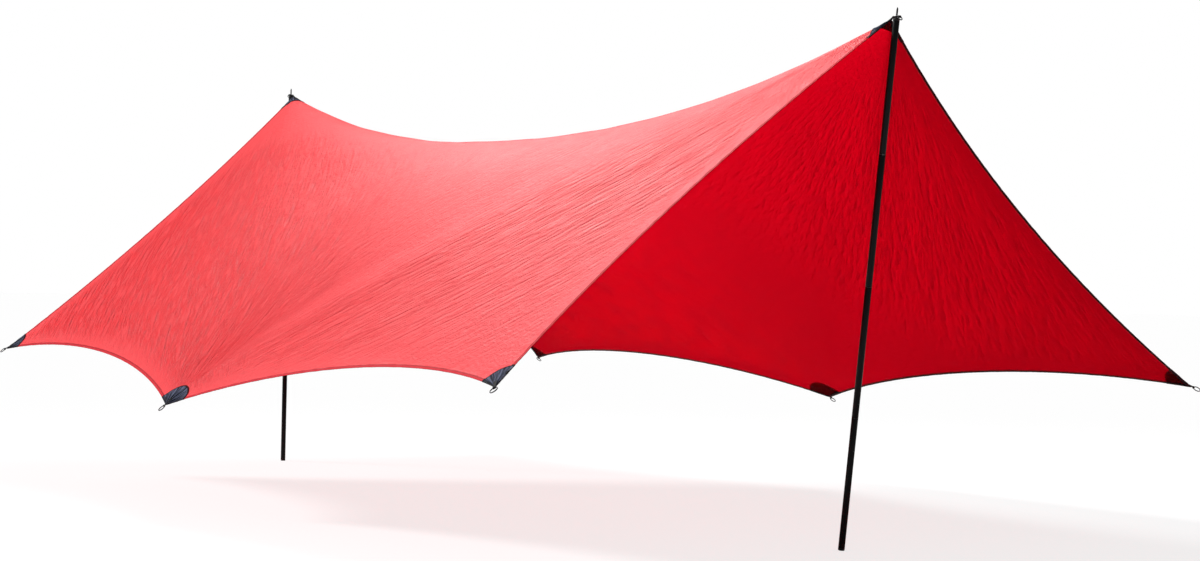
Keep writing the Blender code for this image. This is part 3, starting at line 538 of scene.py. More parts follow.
class Net:
    """Links of a grid of nodes with the pull of each, and the rest position found by conjugate gradients."""

    def __init__(self, half_steps):
        t = np.linspace(0.0, 1.0, half_steps + 1)
        half = t - BUNCHING * np.sin(2 * np.pi * t) / (2 * np.pi)
        self.marks = np.concatenate([-half[::-1], half[1:]])
        self.count = len(self.marks)
        last, middle = self.count - 1, half_steps
        step = np.diff(self.marks)
        share = np.zeros(self.count)
        share[:-1] += step / 2
        share[1:] += step / 2
        self.along = share[None, :] / step[:, None]
        self.across = ACROSS * share[:, None] / step[None, :]
        for edge, side, end in ((0, "left", "rear"), (-1, "right", "front")):
            self.along[:, edge] = np.repeat(SIDE_HEMS[side], half_steps) / step
            self.across[edge] = np.repeat(GABLE_HEMS[end], half_steps) / step
        t = np.arange(middle)
        start, end = [], []
        for way in (1, -1):
            for edge, inward in ((0, 1), (last, -1)):
                start.append((middle + way * t) * self.count + edge + inward * t)
                end.append((middle + way * (t + 1)) * self.count + edge + inward * (t + 1))
        self.start, self.end = np.concatenate(start), np.concatenate(end)
        self.lines = np.tile(TENSION_LINE / step[middle + t], 4)[:, None]
        total = np.zeros((self.count, self.count))
        total[:-1] += self.along
        total[1:] += self.along
        total[:, :-1] += self.across
        total[:, 1:] += self.across
        flat = total.ravel()
        np.add.at(flat, self.start, self.lines[:, 0])
        np.add.at(flat, self.end, self.lines[:, 0])
        self.total = flat.reshape(self.count, self.count, 1)
        ends = {"rear": 0, "mid": middle, "front": last, "left": 0, "peak": middle, "right": last}
        self.nodes = {name: tuple(ends[word] for word in name.split("_"))
                      for name in list(TIES) + list(PEAKS)}

    def imbalance(self, x):
        pull = self.total * x
        along, across = self.along[..., None], self.across[..., None]
        pull[:-1] -= along * x[1:]
        pull[1:] -= along * x[:-1]
        pull[:, :-1] -= across * x[:, 1:]
        pull[:, 1:] -= across * x[:, :-1]
        flat, source = pull.reshape(-1, 3), x.reshape(-1, 3)
        np.subtract.at(flat, self.start, self.lines * source[self.end])
        np.subtract.at(flat, self.end, self.lines * source[self.start])
        return pull

    def settle(self, x, held):
        free = np.ones((self.count, self.count, 1))
        for name, (i, j) in self.nodes.items():
            x[i, j] = held[name]
            free[i, j] = 0.0
        scale = free / self.total
        rest = -self.imbalance(x) * free
        z = rest * scale
        way = z.copy()
        size = (rest * z).sum(axis=(0, 1))
        for _ in range(3000):
            pull = self.imbalance(way) * free
            step = size / np.maximum((way * pull).sum(axis=(0, 1)), 1e-300)
            x = x + step * way
            rest = rest - step * pull
            z = rest * scale
            new = (rest * z).sum(axis=(0, 1))
            if new.max() < 1e-13:
                break
            way = z + new / np.maximum(size, 1e-300) * way
            size = new
        return x


def resample(grid, old, new):
    """The grid at new marks along both ways, in straight lines between its nodes."""
    for _ in range(2):
        flat = grid.reshape(len(old), -1)
        k = np.clip(np.searchsorted(old, new, side="right") - 1, 0, len(old) - 2)
        t = ((new - old[k]) / (old[k + 1] - old[k]))[:, None]
        flat = flat[k] * (1 - t) + flat[k + 1] * t
        grid = flat.reshape(len(new), grid.shape[1], 3).transpose(1, 0, 2)
    return grid


def tensioned_cloth():
    held = {name: np.array(place, float) for name, place in TIES.items()}
    held.update({name: pole.tip for name, pole in PEAKS.items()})
    net = Net(6)
    grid = net.settle(np.zeros((net.count, net.count, 3)), held)
    for half_steps in (30, HALF_STEPS):
        finer = Net(half_steps)
        grid = finer.settle(resample(grid, net.marks, finer.marks), held)
        net = finer
    return grid, net


def normals_of(grid):
    along = np.gradient(grid, axis=0)
    across = np.gradient(grid, axis=1)
    return unit(np.cross(along, across))


# Folds and wrinkles, as heights over the tensioned surface


def ripple(x, waves, seed, low, high):
    """A smooth random height with wavelengths between low and high, about -1 to 1."""
    rng = np.random.default_rng(seed)
    total = np.zeros_like(x)
    for _ in range(waves):
        length = low * (high / low) ** rng.random()
        total += (0.5 + rng.random()) * np.cos(2 * np.pi * x / length + rng.random() * 2 * np.pi)
    return total / math.sqrt(waves)


def smooth_step(x, low, high):
    t = np.clip((x - low) / (high - low), 0, 1)
    return t * t * (3 - 2 * t)


def bell(x, middle, width):
    return np.exp(-(((x - middle) / width) ** 2))


def lattice(across, along, seed):
    """Smooth random heights between -1 and 1 on a unit lattice."""
    table = np.random.default_rng(seed).uniform(-1.0, 1.0, (256, 256))
    i, j = np.floor(across).astype(int), np.floor(along).astype(int)
    s, t = across - i, along - j
    s, t = s * s * s * (s * (6 * s - 15) + 10), t * t * t * (t * (6 * t - 15) + 10)
    i, j, i_next, j_next = i % 256, j % 256, (i + 1) % 256, (j + 1) % 256
    near = table[i, j] * (1 - s) + table[i_next, j] * s
    far = table[i, j_next] * (1 - s) + table[i_next, j_next] * s
    return near * (1 - t) + far * t


def folds(across, along, wide, long, seed):
    """Heights of long folds; wide and long are the sizes of one fold, and crests are sharper than hollows."""
    drift = 0.35 * lattice(across / (6 * wide), along / (0.8 * long), seed + 1)
    big = lattice(across / wide + drift, along / long, seed + 2)
    small = lattice(2.1 * across / wide + drift, 1.7 * along / long, seed + 3)
    return 0.75 * (0.45 - np.abs(big)) + 0.35 * big + 0.35 * small


class Cloth:
    """The wrinkled sheet: positions, normals and ways to sample them."""

    def __init__(self):
        self.taut, net = tensioned_cloth()
        self.marks, self.nodes = net.marks, net.nodes
        self.count = len(self.marks)
        taut_normals = normals_of(self.taut)
        self.fields = self.pull_fields()
        self.grid = self.taut + taut_normals * self.heights()[..., None]
        self.normals = normals_of(self.grid)

    def tip(self, name):
        return self.taut[self.nodes[name]]

    def between(self, start, end, narrow):
        """Distances across and along the lines that spread between two tie-outs, and the share run."""
        a, b = self.tip(start), self.tip(end)
        length = np.linalg.norm(b - a)
        way = (b - a) / length
        ray = self.taut - a
        run = ray @ way / length
        across = unit(np.cross(way, (0.0, 0.63 * np.sign(a[1] + b[1]), 0.77)))
        lens = np.sqrt(np.clip(4 * run * (1 - run), 0.0, 1.0))
        return (ray @ across) / np.maximum(lens, narrow), run * length, run

    def fan(self, name, toward):
        """Angle from a tie-out in degrees beside a direction, and the distance from it."""
        tip = self.tip(name)
        goal = unit(np.asarray(toward, float) - tip)
        normal = unit(np.array([0.0, 0.63 * math.copysign(1.0, goal[1]), 0.77]))
        goal = unit(goal - normal * (goal @ normal))
        ray = self.taut - tip
        angle = np.degrees(np.arctan2(ray @ np.cross(normal, goal), ray @ goal))
        return angle, np.linalg.norm(ray, axis=-1)

    def pull_fields(self):
        """For each field of wrinkles: the distances across and along them, and how strong they are."""
        y = self.taut[..., 1]
        left, right = smooth_step(-y, 0.04, 0.40), smooth_step(y, 0.04, 0.40)
        edge = smooth_step(self.edge_distance(), 0.0, 0.16)
        fields = {}

        off, along, run = self.between("rear_peak", "mid_left", 0.30)
        strong = smooth_step(run, 0.02, 0.25) * (1 - 0.5 * smooth_step(run, 0.90, 1.0))
        rear = 1.5 * bell(off, 0.10, np.where(off > 0.10, 3.0, 1.3)) * strong
        fields["rear"] = (off, along, left * rear * edge)

        off, along, run = self.between("mid_left", "front_peak", 0.35)
        side = bell(off, 0.20, 0.85) * smooth_step(run, 0.02, 0.20) * (1 - smooth_step(run, 0.60, 0.95))
        fields["side"] = (off, along, left * side * edge * (1 - 0.7 * bell(off, -0.35, 0.2)))

        angle, reach = self.fan("front_peak", (1.5, 1.2, 0.9))
        inner = smooth_step(reach, 0.2, 0.8) * (1 - smooth_step(reach, 1.9, 2.7)) * bell(angle, 4.0, 38.0)
        fields["inner"] = (np.radians(angle) * 1.4, reach, 0.95 * right * inner * edge)

        angle, reach = self.fan("rear_right", (1.5, 1.2, 1.2))
        low = smooth_step(reach, 0.15, 0.7) * (1 - smooth_step(reach, 1.8, 3.2)) * bell(angle, 0.0, 26.0)
        fields["low"] = (np.radians(angle) * 1.1, reach, right * low * edge)
        return fields

    def heights(self):
        x, y, _ = (self.taut[..., k] for k in range(3))
        height = np.zeros_like(x)
        for order, (name, (wide, long, tall)) in enumerate(FOLD_SIZES.items()):
            across, along, strong = self.fields[name]
            seed = 100 + 10 * order
            narrow = folds(across, along, wide, long, seed)
            broad = folds(across + 3.3, along, 2.6 * wide, 1.8 * long, seed + 5)
            height += tall * strong * (narrow + 0.8 * broad)

        # The long fold from the middle of the left side towards the front peak, with a hollow beside it
        left = smooth_step(-y, 0.05, 0.45)
        off, _, run = self.between("mid_left", "front_peak", 0.45)
        long_fold = left * smooth_step(run, 0.0, 0.12) * (1 - smooth_step(run, 0.25, 0.62))
        height += long_fold * (0.014 * bell(off, -0.16, 0.12) - 0.003 * bell(off, 0.12, 0.16))

        # Fans at the tie-outs
        middle = np.array([0.0, 0.0, 1.2])
        for k, name in enumerate(CORNERS + ("mid_left", "mid_right")):
            angle, reach = self.fan(name, middle)
            near = smooth_step(reach, 0.05, 0.16) * (1 - smooth_step(reach, 0.25, 0.95))
            near *= 0.0022 * np.minimum(reach / 0.5, 1.0)
            height += near * folds(angle / 60, reach, 0.16, 0.6, 31 + k)
        for k, name in enumerate(PEAKS):
            for side in (-1, 1):
                angle, reach = self.fan(name, (self.tip(name)[0] * 0.4, side * 1.2, 0.9))
                near = smooth_step(reach, 0.08, 0.22) * (1 - smooth_step(reach, 0.3, 1.1))
                near *= 0.0018 * smooth_step(side * y, 0.0, 0.05) * bell(angle, 0, 40)
                height += near * folds(angle / 60, reach, 0.11, 0.5, 71 + 2 * k + side)

        # Soft unevenness of the whole sheet, and calm edges
        height += 0.0035 * lattice(x / 0.45 + 7, y / 0.40 + 3, 51)
        height += 0.0015 * lattice(x / 0.2 + 1, y / 0.18 + 9, 52)
        edge = self.edge_distance()
        height *= smooth_step(edge, 0.0, 0.10)
        height += 0.0007 * self.pucker() * bell(edge, 0.03, 0.03)
        calm = np.ones_like(x)
        for i, j in self.nodes.values():
            calm *= smooth_step(np.linalg.norm(self.taut - self.taut[i, j], axis=-1), 0.015, 0.11)
        return height * calm

    def edge_distance(self):
        """About how far each node is from the nearest edge, in metres along the grid."""
        distance = np.full((self.count, self.count), 9.0)
        for axis in (0, 1):
            run = self.run_along(axis)
            distance = np.minimum(distance, np.minimum(run, np.take(run, [-1], axis) - run))
        return distance

    def run_along(self, axis):
        """Length along the grid's lines of one way, from their first nodes."""
        start = np.take(self.taut, [0], axis)
        steps = np.linalg.norm(np.diff(self.taut, axis=axis, prepend=start), axis=-1)
        return np.cumsum(steps, axis=axis)

    def pucker(self):
        """Short ripples square to the edges, from the pull of the stitches."""
        along, across = (ripple(self.run_along(axis), 5, 61 + axis, 0.06, 0.14) for axis in (0, 1))
        return np.where(np.abs(self.marks)[None, :] > np.abs(self.marks)[:, None], along, across)

    def sample(self, u, v):
        """Position and normal at marks u, v between -1 and 1."""
        place, scale = [], []
        for value in (u, v):
            k = np.clip(np.searchsorted(self.marks, value, side="right") - 1, 0, self.count - 2)
            t = (value - self.marks[k]) / (self.marks[k + 1] - self.marks[k])
            place.append(k)
            scale.append(t[..., None])
        (i, j), (s, t) = place, scale
        found = []
        for source in (self.grid, self.normals):
            low = source[i, j] * (1 - s) + source[i + 1, j] * s
            high = source[i, j + 1] * (1 - s) + source[i + 1, j + 1] * s
            found.append(low * (1 - t) + high * t)
        return found[0], unit(found[1])

    def mark_of(self, name):
        i, j = self.nodes[name]
        return self.marks[i], self.marks[j]


# The sheet, its hems and its patches


def build_cloth(cloth):
    """The sheet with two skins; its wrinkle fields are UV layers, their strengths a colour attribute."""
    count, total = cloth.count, cloth.count**2
    points = [cloth.grid + side * cloth.normals * SHEET / 2 for side in (1, -1)]
    faces = grid_faces(count, count)
    nodes = np.arange(total).reshape(count, count)
    rim = np.concatenate([nodes[:, 0], nodes[-1, 1:], nodes[-2::-1, -1], nodes[0, -2:0:-1]])
    after = np.roll(rim, -1)
    wall = np.stack([rim, rim + total, after + total, after], -1)
    part = np.repeat([0, 1, 0], [len(faces), len(faces), len(wall)])
    u, v = np.meshgrid(cloth.marks * SIDE_LENGTH / 2, cloth.marks * GABLE_LENGTH / 2, indexing="ij")
    uvs = {"cloth": (u, v)}
    for name, (wide, long) in FINE_SIZES.items():
        across, along, _ = cloth.fields[name]
        uvs[name] = (across / wide, along / long)
    uvs = {name: np.tile(np.stack(pair, -1).reshape(-1, 2), (2, 1)) for name, pair in uvs.items()}
    made = make("canopy_cloth", np.concatenate(points), [faces, faces[:, [0, 3, 2, 1]] + total, wall],
                ["outside", "inside"], part, **uvs)
    strengths = np.stack([cloth.fields[name][2].ravel() for name in FIELDS], -1)
    pull = made.data.color_attributes.new("pull", "FLOAT_COLOR", "POINT")
    pull.data.foreach_set("color", np.tile(strengths, (2, 1)).ravel())
    return set_out(face_out(made), "canopy", "canopy")


def edge_path(cloth, start, end):
    """Marks along an edge between two tie-outs, and the length along it."""
    a, b = np.array(cloth.mark_of(start)), np.array(cloth.mark_of(end))
    marks = a + (b - a) * np.linspace(0, 1, 400)[:, None]
    points, _ = cloth.sample(marks[:, 0], marks[:, 1])
    steps = np.linalg.norm(np.diff(points, axis=0), axis=1)
    return marks, np.concatenate([[0], np.cumsum(steps)])


def binding_rows(cloth, start, end, low, high, spacing):
    """Edge and inner points and normals at even lengths along an edge, from length low to high."""
    marks, run = edge_path(cloth, start, end)
    at = np.linspace(low, high, max(3, int(round((high - low) / spacing)) + 1))
    u, v = (np.interp(at, run, marks[:, way]) for way in (0, 1))
    edge, edge_normal = cloth.sample(u, v)
    a, b = cloth.mark_of(start), cloth.mark_of(end)
    inward_u = 0.0 if a[1] == b[1] else -np.sign(a[0])
    inward_v = 0.0 if inward_u else -np.sign(a[1])
    step = 0.02
    probe, _ = cloth.sample(u + inward_u * step, v + inward_v * step)
    share = step * HEM_WIDTH / np.linalg.norm(probe - edge, axis=1)
    inner, inner_normal = cloth.sample(u + inward_u * share, v + inward_v * share)
    return at, edge, edge_normal, inner, inner_normal


def binding_mesh(rows, lift, thick):
    """Points and UVs of a cloth folded round an edge, with a soft round fold."""
    at, edge, edge_normal, inner, inner_normal = rows
    out = unit(edge - inner)
    height = lift + thick
    sections, across = [], []

    def add(depth, rise, mark):
        normal = edge_normal * (1 - depth) + inner_normal * depth
        sections.append(edge + (inner - edge) * depth + normal * rise)
        across.append(mark)

    flap = [(1.0, 1.0, 0.02), (0.75, 1.06, 0.12), (0.45, 1.0, 0.3), (0.12, 1.05, 0.42)]
    for depth, share, mark in flap:
        add(depth, height * share, mark)
    for angle in np.radians((60, 30, 0, -30, -60)):
        reach = 0.0004 + height * 0.8 * math.cos(angle)
        sections.append(edge + out * reach + edge_normal * height * math.sin(angle))
        across.append(0.5 - 0.08 * math.sin(angle))
    for depth, share, mark in reversed(flap):
        add(depth, -height * share, 1 - mark)
    for depth, rise in ((1.0, -lift), (0.1, -lift), (0.1, lift), (1.0, lift)):
        add(depth, rise, 0.5)
    points = np.stack(sections, 1)
    wobble = 0.00022 * ripple(at, 6, int(at[0] * 1e4) + len(at), 0.018, 0.05)
    faces_up = np.sign(np.linspace(1, -1, 11))
    points[:, 1:12] += edge_normal[:, None] * wobble[:, None, None] * faces_up[None, :, None]
    return points, np.stack(np.broadcast_arrays(at[:, None], np.array(across)[None, :]), -1)


def binding_solid(name, strips, look):
    """One object of several binding strips, each with a cap at both ends."""
    cap = [(0, 1, 15, 16)]
    cap += [(k, k + 1, 14, 15) for k in range(1, 6)]
    cap += [(k, k + 1, 13, 14) for k in range(6, 11)]
    cap = np.array(cap)
    faces, total = [], 0
    for points, _ in strips:
        rows, columns = points.shape[:2]
        last = (rows - 1) * columns
        faces += [grid_faces(rows, columns, False, True) + total, cap[:, ::-1] + total, cap + last + total]
        total += rows * columns
    points = np.concatenate([points.reshape(-1, 3) for points, _ in strips])
    uv = np.concatenate([uv.reshape(-1, 2) for _, uv in strips])
    return face_out(make(name, points, faces, [look], cloth=uv))


def build_hems(cloth):
    made = []
    for node, (start, end) in HEMS.items():
        _, run = edge_path(cloth, start, end)
        low = PATCH_RADIUS - HEM_OVERLAP
        rows = binding_rows(cloth, start, end, low, run[-1] - low, HEM_PITCH)
        hem = binding_solid(node + "_binding", [binding_mesh(rows, HEM_LIFT, HEM_CLOTH)], "hem")
        made.append(set_out(hem, node, "canopy"))
    return made


def patch_grid(cloth, name, rays):
    """A polar grid on the cloth round a tie-out: points, normals, fan angle, distance and inset."""
    u0, v0 = cloth.mark_of(name)
    angles = np.linspace(0, np.pi / 2 if name in CORNERS else np.pi, rays)
    cos, sin = np.cos(angles), np.sin(angles)
    if name in CORNERS:
        ways = (-np.sign(u0) * cos, -np.sign(v0) * sin)
    elif name in PEAKS:
        ways = (-np.sign(u0) * sin, -cos)
    else:
        ways = (-cos, -np.sign(v0) * sin)
    ways = np.stack(ways, -1) * np.array([1 / SIDE_LENGTH, 1 / GABLE_LENGTH]) * 2

    def sample(at):
        return cloth.sample(np.clip(u0 + ways[:, :1] * at, -1, 1), np.clip(v0 + ways[:, 1:] * at, -1, 1))

    reach = np.linspace(0, 2.2 * PATCH_RADIUS, 120)
    line, _ = sample(reach)
    tip = cloth.grid[cloth.nodes[name]]
    away = np.linalg.norm(line - tip, axis=-1)
    inside = away / PATCH_RADIUS
    if name in PEAKS:
        ends = [[np.interp(PATCH_RADIUS, away[k], line[k, :, axis]) for axis in range(3)] for k in (0, -1)]
        ends = np.array(ends)
        inner = unit(line[rays // 2, 20] - tip)
        half_chord = np.linalg.norm(ends[1] - ends[0]) / 2
        bow = PEAK_PATCH_REACH - (ends.sum(axis=0) / 2 - tip) @ inner
        radius = (half_chord**2 + bow**2) / (2 * bow)
        centre = tip + (PEAK_PATCH_REACH - radius) * inner
        inside = np.maximum(inside, np.linalg.norm(line - centre, axis=-1) / radius)
        inside[:, 0] = 0.0
    rim = [np.interp(1.0, np.maximum.accumulate(inside[k]), away[k]) for k in range(rays)]
    rim = np.array(rim)[:, None]
    goal = rim * (np.arange(1, PATCH_RINGS + 1) / PATCH_RINGS)
    points, normals = sample(np.stack([np.interp(goal[k], away[k], reach) for k in range(rays)]))
    return points, normals, np.broadcast_to(np.degrees(angles)[:, None], goal.shape), goal, rim - goal


def patch_solid(cloth, name, order):
    """A patch with gathers that run out from its tip and a rounded rim."""
    rings, rays = PATCH_RINGS, 91 if name in CORNERS else 151
    points, normals, angle, reach, inset = patch_grid(cloth, name, rays)
    gather = ripple(angle, 6, 70 + order, 11.0, 30.0) * smooth_step(reach, 0.0, 0.03)
    gather *= smooth_step(inset, 0.0, 0.05) * smooth_step(np.minimum(angle, angle.max() - angle), 0, 8)
    rise = PATCH_TOP + PATCH_GATHER * np.maximum(gather + 0.3, 0)
    rise += PATCH_BORDER * (1 - smooth_step(inset, 0.008, 0.014))
    rise -= PATCH_BORDER * (1 - smooth_step(inset, 0.0, 0.0035))
    tip, tip_normal = cloth.grid[cloth.nodes[name]], cloth.normals[cloth.nodes[name]]
    count = rings * rays
    top_tip, low_tip = 2 * count, 2 * count + 1
    all_points = np.concatenate([
        (points + normals * rise[..., None]).reshape(-1, 3),
        (points + normals * PATCH_BOTTOM).reshape(-1, 3),
        [tip + tip_normal * PATCH_TOP, tip + tip_normal * PATCH_BOTTOM],
    ])
    turn = np.radians(angle)
    flat = np.stack([reach * np.cos(turn), reach * np.sin(turn)], -1).reshape(-1, 2)
    rim = np.stack([turn, inset], -1).reshape(-1, 2)
    faces = grid_faces(rays, rings)
    nodes = np.arange(count).reshape(rays, rings)
    first = nodes[:, 0]
    walls = [np.stack([line[:-1], line[1:], line[1:] + count, line[:-1] + count], -1)
             for line in (nodes[:, -1], nodes[0], nodes[-1])]
    fans = [np.stack([np.full(rays - 1, top_tip), first[:-1], first[1:]], -1),
            np.stack([np.full(rays - 1, low_tip), first[1:] + count, first[:-1] + count], -1)]
    ends = np.array([[0, count, low_tip, top_tip], [first[-1], top_tip, low_tip, first[-1] + count]])
    made = make("patch_" + name + "_cloth", all_points, [faces, faces[:, ::-1] + count, *walls, *fans, ends],
                ["patch"], cloth=np.concatenate([flat, flat, np.zeros((2, 2))]),
                rim=np.concatenate([rim, rim, [[0, PATCH_RADIUS]] * 2]))
    return wind_evenly(made)


def build_patches(cloth):
    made = []
    for order, name in enumerate(cloth.nodes):
        made.append(set_out(patch_solid(cloth, name, order), "patch_" + name, "canopy"))
        strips = []
        for ends in HEMS.values():
            if name in ends:
                rows = binding_rows(cloth, name, ends[ends[0] == name], EDGE_START, PATCH_RADIUS, EDGE_PITCH)
                strips.append(binding_mesh(rows, EDGE_LIFT, EDGE_CLOTH))
        edge = binding_solid("patch_" + name + "_edge", strips, "edge")
        made.append(set_out(edge, None, "canopy"))
    return made


# Straps, rings and eyelets


def tie_frame(cloth, name):
    """The tip of a tie-out, and its outward, sideways and upward ways."""
    tip, normal = cloth.grid[cloth.nodes[name]], cloth.normals[cloth.nodes[name]]
    u, v = cloth.mark_of(name)
    step = 0.03

    def toward(du, dv):
        return unit(cloth.sample(np.array([u - du * step]), np.array([v - dv * step]))[0][0] - tip)

    if name in CORNERS:
        first, second = toward(np.sign(u), 0), toward(0, np.sign(v))
        normal = unit(np.cross(first, second))
        normal = normal if normal[2] > 0 else -normal
        inner = unit(first + second)
    elif name in PEAKS:
        inner = toward(np.sign(u), 0)
        normal = np.array([inner[2] * np.sign(u), 0.0, abs(inner[0])])
    else:
        inner = toward(0, np.sign(v))
    outward = unit(-inner + normal * (inner @ normal))
    return tip, outward, np.cross(normal, outward), normal


def cloth_at(cloth, name, inward, across):
    """Cloth position and normal at a distance in from a tie-out and across its middle line."""
    tip, outward, lateral, _ = tie_frame(cloth, name)
    u, v = (np.array([m]) for m in cloth.mark_of(name))
    goal = tip - outward * inward + lateral * across
    h = 1e-3
    for _ in range(12):
        here, _ = cloth.sample(u, v)
        u1, v1 = (m + h if m[0] < 0.5 else m - h for m in (u, v))
        du = (cloth.sample(u1, v)[0] - here)[0] / (u1 - u)[0]
        dv = (cloth.sample(u, v1)[0] - here)[0] / (v1 - v)[0]
        miss = goal - here[0]
        basis = np.array([[du @ outward, dv @ outward], [du @ lateral, dv @ lateral]])
        change = np.clip(np.linalg.solve(basis, [miss @ outward, miss @ lateral]), -0.02, 0.02)
        u, v = np.clip(u + change[0], -1, 1), np.clip(v + change[1], -1, 1)
    point, facing = cloth.sample(u, v)
    return point[0], facing[0]


def leg_rows(cloth, name, insets, upper):
    """Rows of a strap's lower or upper leg on the cloth."""
    rise = STRAP_BOTTOM + TAPE / 2 + (TAPE + TAPE_GAP if upper else 0.0)
    rows = []
    for inset in insets:
        spots = [cloth_at(cloth, name, inset, share * STRAP_HALF) for share in ACROSS_TAPE]
        rows.append([(point + facing * rise, -facing if upper else facing) for point, facing in spots])
    return rows


def flat_row(centre, left, lateral, half=STRAP_HALF):
    return [(centre + share * half * lateral, left) for share in ACROSS_TAPE]


def ring_sides(radius):
    """From a ring's middle to the outside of its wire, and to the inside of its wire at a strap's edge."""
    return radius + RING_WIRE, math.sqrt((radius - RING_WIRE) ** 2 - STRAP_HALF**2)


def loop_rows(centre, outward, up, lateral, ring_radius):
    """Rows of the loop that a strap makes round its ring's wire."""
    far, near = ring_sides(ring_radius)
    radius = (far - near) / 2 + LOOP_GAP + TAPE / 2
    rays = [math.cos(angle) * outward + math.sin(angle) * up for angle in np.radians(range(-120, 121, 15))]
    return [flat_row(centre + radius * ray, -ray, lateral) for ray in rays]


def tape_solid(name, rows):
    """A tape with rounded edges through rows of (middle, left-hand normal)."""
    middle, left = (np.array([[pair[k] for pair in row] for row in rows]) for k in (0, 1))
    wide = len(ACROSS_TAPE)
    thin = np.sqrt(np.maximum(1 - np.abs(ACROSS_TAPE) ** 8, 0.12)) * TAPE / 2
    thin = (thin * (1 + 0.10 * np.cos(np.arange(wide) * np.pi)))[None, :, None]
    points = np.concatenate([middle - left * thin, (middle + left * thin)[:, ::-1]], axis=1)
    steps = np.linalg.norm(np.diff(middle[:, wide // 2], axis=0), axis=1)
    run = np.concatenate([[0], np.cumsum(steps)])
    side = np.concatenate([ACROSS_TAPE, ACROSS_TAPE[::-1]]) * STRAP_HALF
    uv = np.stack(np.broadcast_arrays(run[:, None], side[None, :]), -1)
    cap = np.array([(k, k + 1, 2 * wide - 2 - k, 2 * wide - 1 - k) for k in range(wide - 1)])
    faces = [grid_faces(len(rows), 2 * wide, False, True), cap[:, ::-1], cap + (len(rows) - 1) * 2 * wide]
    return wind_evenly(make(name, points, faces, ["webbing"], cloth=uv))


def build_ring(name, radius, look, hinge, way, lateral):
    """A wire ring with its weld, whose origin is on its hinge line inside the strap's loop."""
    middle = sum(ring_sides(radius)) / 2
    steps, sides = 72, 16
    turn = (2 * np.pi * np.arange(steps) / steps)[:, None]
    wire = 2 * np.pi * np.arange(sides) / sides
    thick = RING_WIRE * (1 + 0.10 * bell(turn, RING_WELD, math.radians(5)))
    reach = radius + thick * np.cos(wire)
    points = np.stack([middle - reach * np.cos(turn), reach * np.sin(turn), thick * np.sin(wire)], -1)
    made = face_out(make("ring_" + name + "_wire", points, [grid_faces(steps, sides, True, True)], [look]))
    place(made, hinge, np.cross(way, lateral), way)
    return set_out(made, "ring_" + name, "guy_ring_" + name)


def build_ties(cloth):
    """The straps and rings of the corners and of the sides' middles."""
    made = []
    for name in TIES:
        tip, outward, lateral, normal = tie_frame(cloth, name)
        low = STRAP_BOTTOM + TAPE / 2
        high = low + TAPE + TAPE_GAP
        centre = tip + outward * LOOP_FROM_TIP + normal * LOOP_HEIGHT
        throat = tip + outward * LOOP_THROAT
        rows = leg_rows(cloth, name, LEG, False)
        rows.append(flat_row(throat + normal * low, normal, lateral))
        rows += loop_rows(centre, outward, normal, lateral, RING_RADIUS)
        rows.append(flat_row(throat + normal * high, -normal, lateral))
        rows += leg_rows(cloth, name, LEG[::-1], True)
        strap = tape_solid("strap_" + name + "_tape", rows)
        made.append(set_out(strap, "strap_" + name, "canopy"))
        build_ring(name, RING_RADIUS, "steel", centre, outward, lateral)
    return made


def build_peaks(cloth):
    """The straps, rings and eyelets at the pole tops."""
    made = []
    for name, pole in PEAKS.items():
        lateral = np.array([0.0, float(pole.side), 0.0])
        out, axis, eyelet = pole.outward, pole.axis, pole.eyelet
        centre = eyelet + PEAK_RING_REACH * out
        path = [
            (pole.bend - 0.75 * PEAK_BEND_LENGTH * pole.slope, pole.slope_up, STRAP_HALF),
            (pole.bend - 0.30 * PEAK_BEND_LENGTH * pole.slope, pole.slope_up, 0.008),
            (pole.bend + 0.001 * out, unit(pole.slope_up + 2 * axis), 0.0100),
            (eyelet - 0.005 * out, axis, 0.0104),
            (eyelet, axis, 0.0105),
            (eyelet + 0.004 * out, axis, 0.0100),
            (eyelet + 0.0075 * out, axis, 0.0076),
            (eyelet + 0.0098 * out, axis, STRAP_HALF),
        ]
        ply = (TAPE + TAPE_GAP) / 2
        low = [flat_row(middle - ply * up, up, lateral, half) for middle, up, half in path]
        high = [flat_row(middle + ply * up, -up, lateral, half) for middle, up, half in path]
        rows = leg_rows(cloth, name, PEAK_LEG, False) + low
        rows += loop_rows(centre, out, axis, lateral, PEAK_RING_RADIUS)
        rows += high[::-1] + leg_rows(cloth, name, PEAK_LEG[::-1], True)
        strap = tape_solid("strap_" + name + "_tape", rows)
        cut_hole(strap, eyelet, axis)
        made.append(set_out(strap, "strap_" + name, "canopy"))
        way = math.cos(PEAK_RING_DROP) * out - math.sin(PEAK_RING_DROP) * axis
        # Painted shade: the small peak rings take the spikes' black steel, standing in for the shade of a
        # back-lit ring.
        build_ring(name, PEAK_RING_RADIUS, "spike", centre, way, lateral)
        made.append(build_eyelet(pole))
    return made


def cut_hole(strap, centre, axis):
    """Cuts the eyelet's hole through a strap."""
    reach = 0.01
    profile = [(0, -reach), (STRAP_HOLE, -reach), (STRAP_HOLE, reach), (0, reach)]
    cutter = place(lathe("eyelet_hole", profile, "webbing", 32), centre, axis)
    cut = strap.modifiers.new("hole", "BOOLEAN")
    cut.operation, cut.solver, cut.object = "DIFFERENCE", "EXACT", cutter
    bpy.context.view_layer.update()
    graph = bpy.context.evaluated_depsgraph_get()
    strap.data = bpy.data.meshes.new_from_object(strap.evaluated_get(graph))
    strap.modifiers.clear()
    bpy.data.objects.remove(cutter)


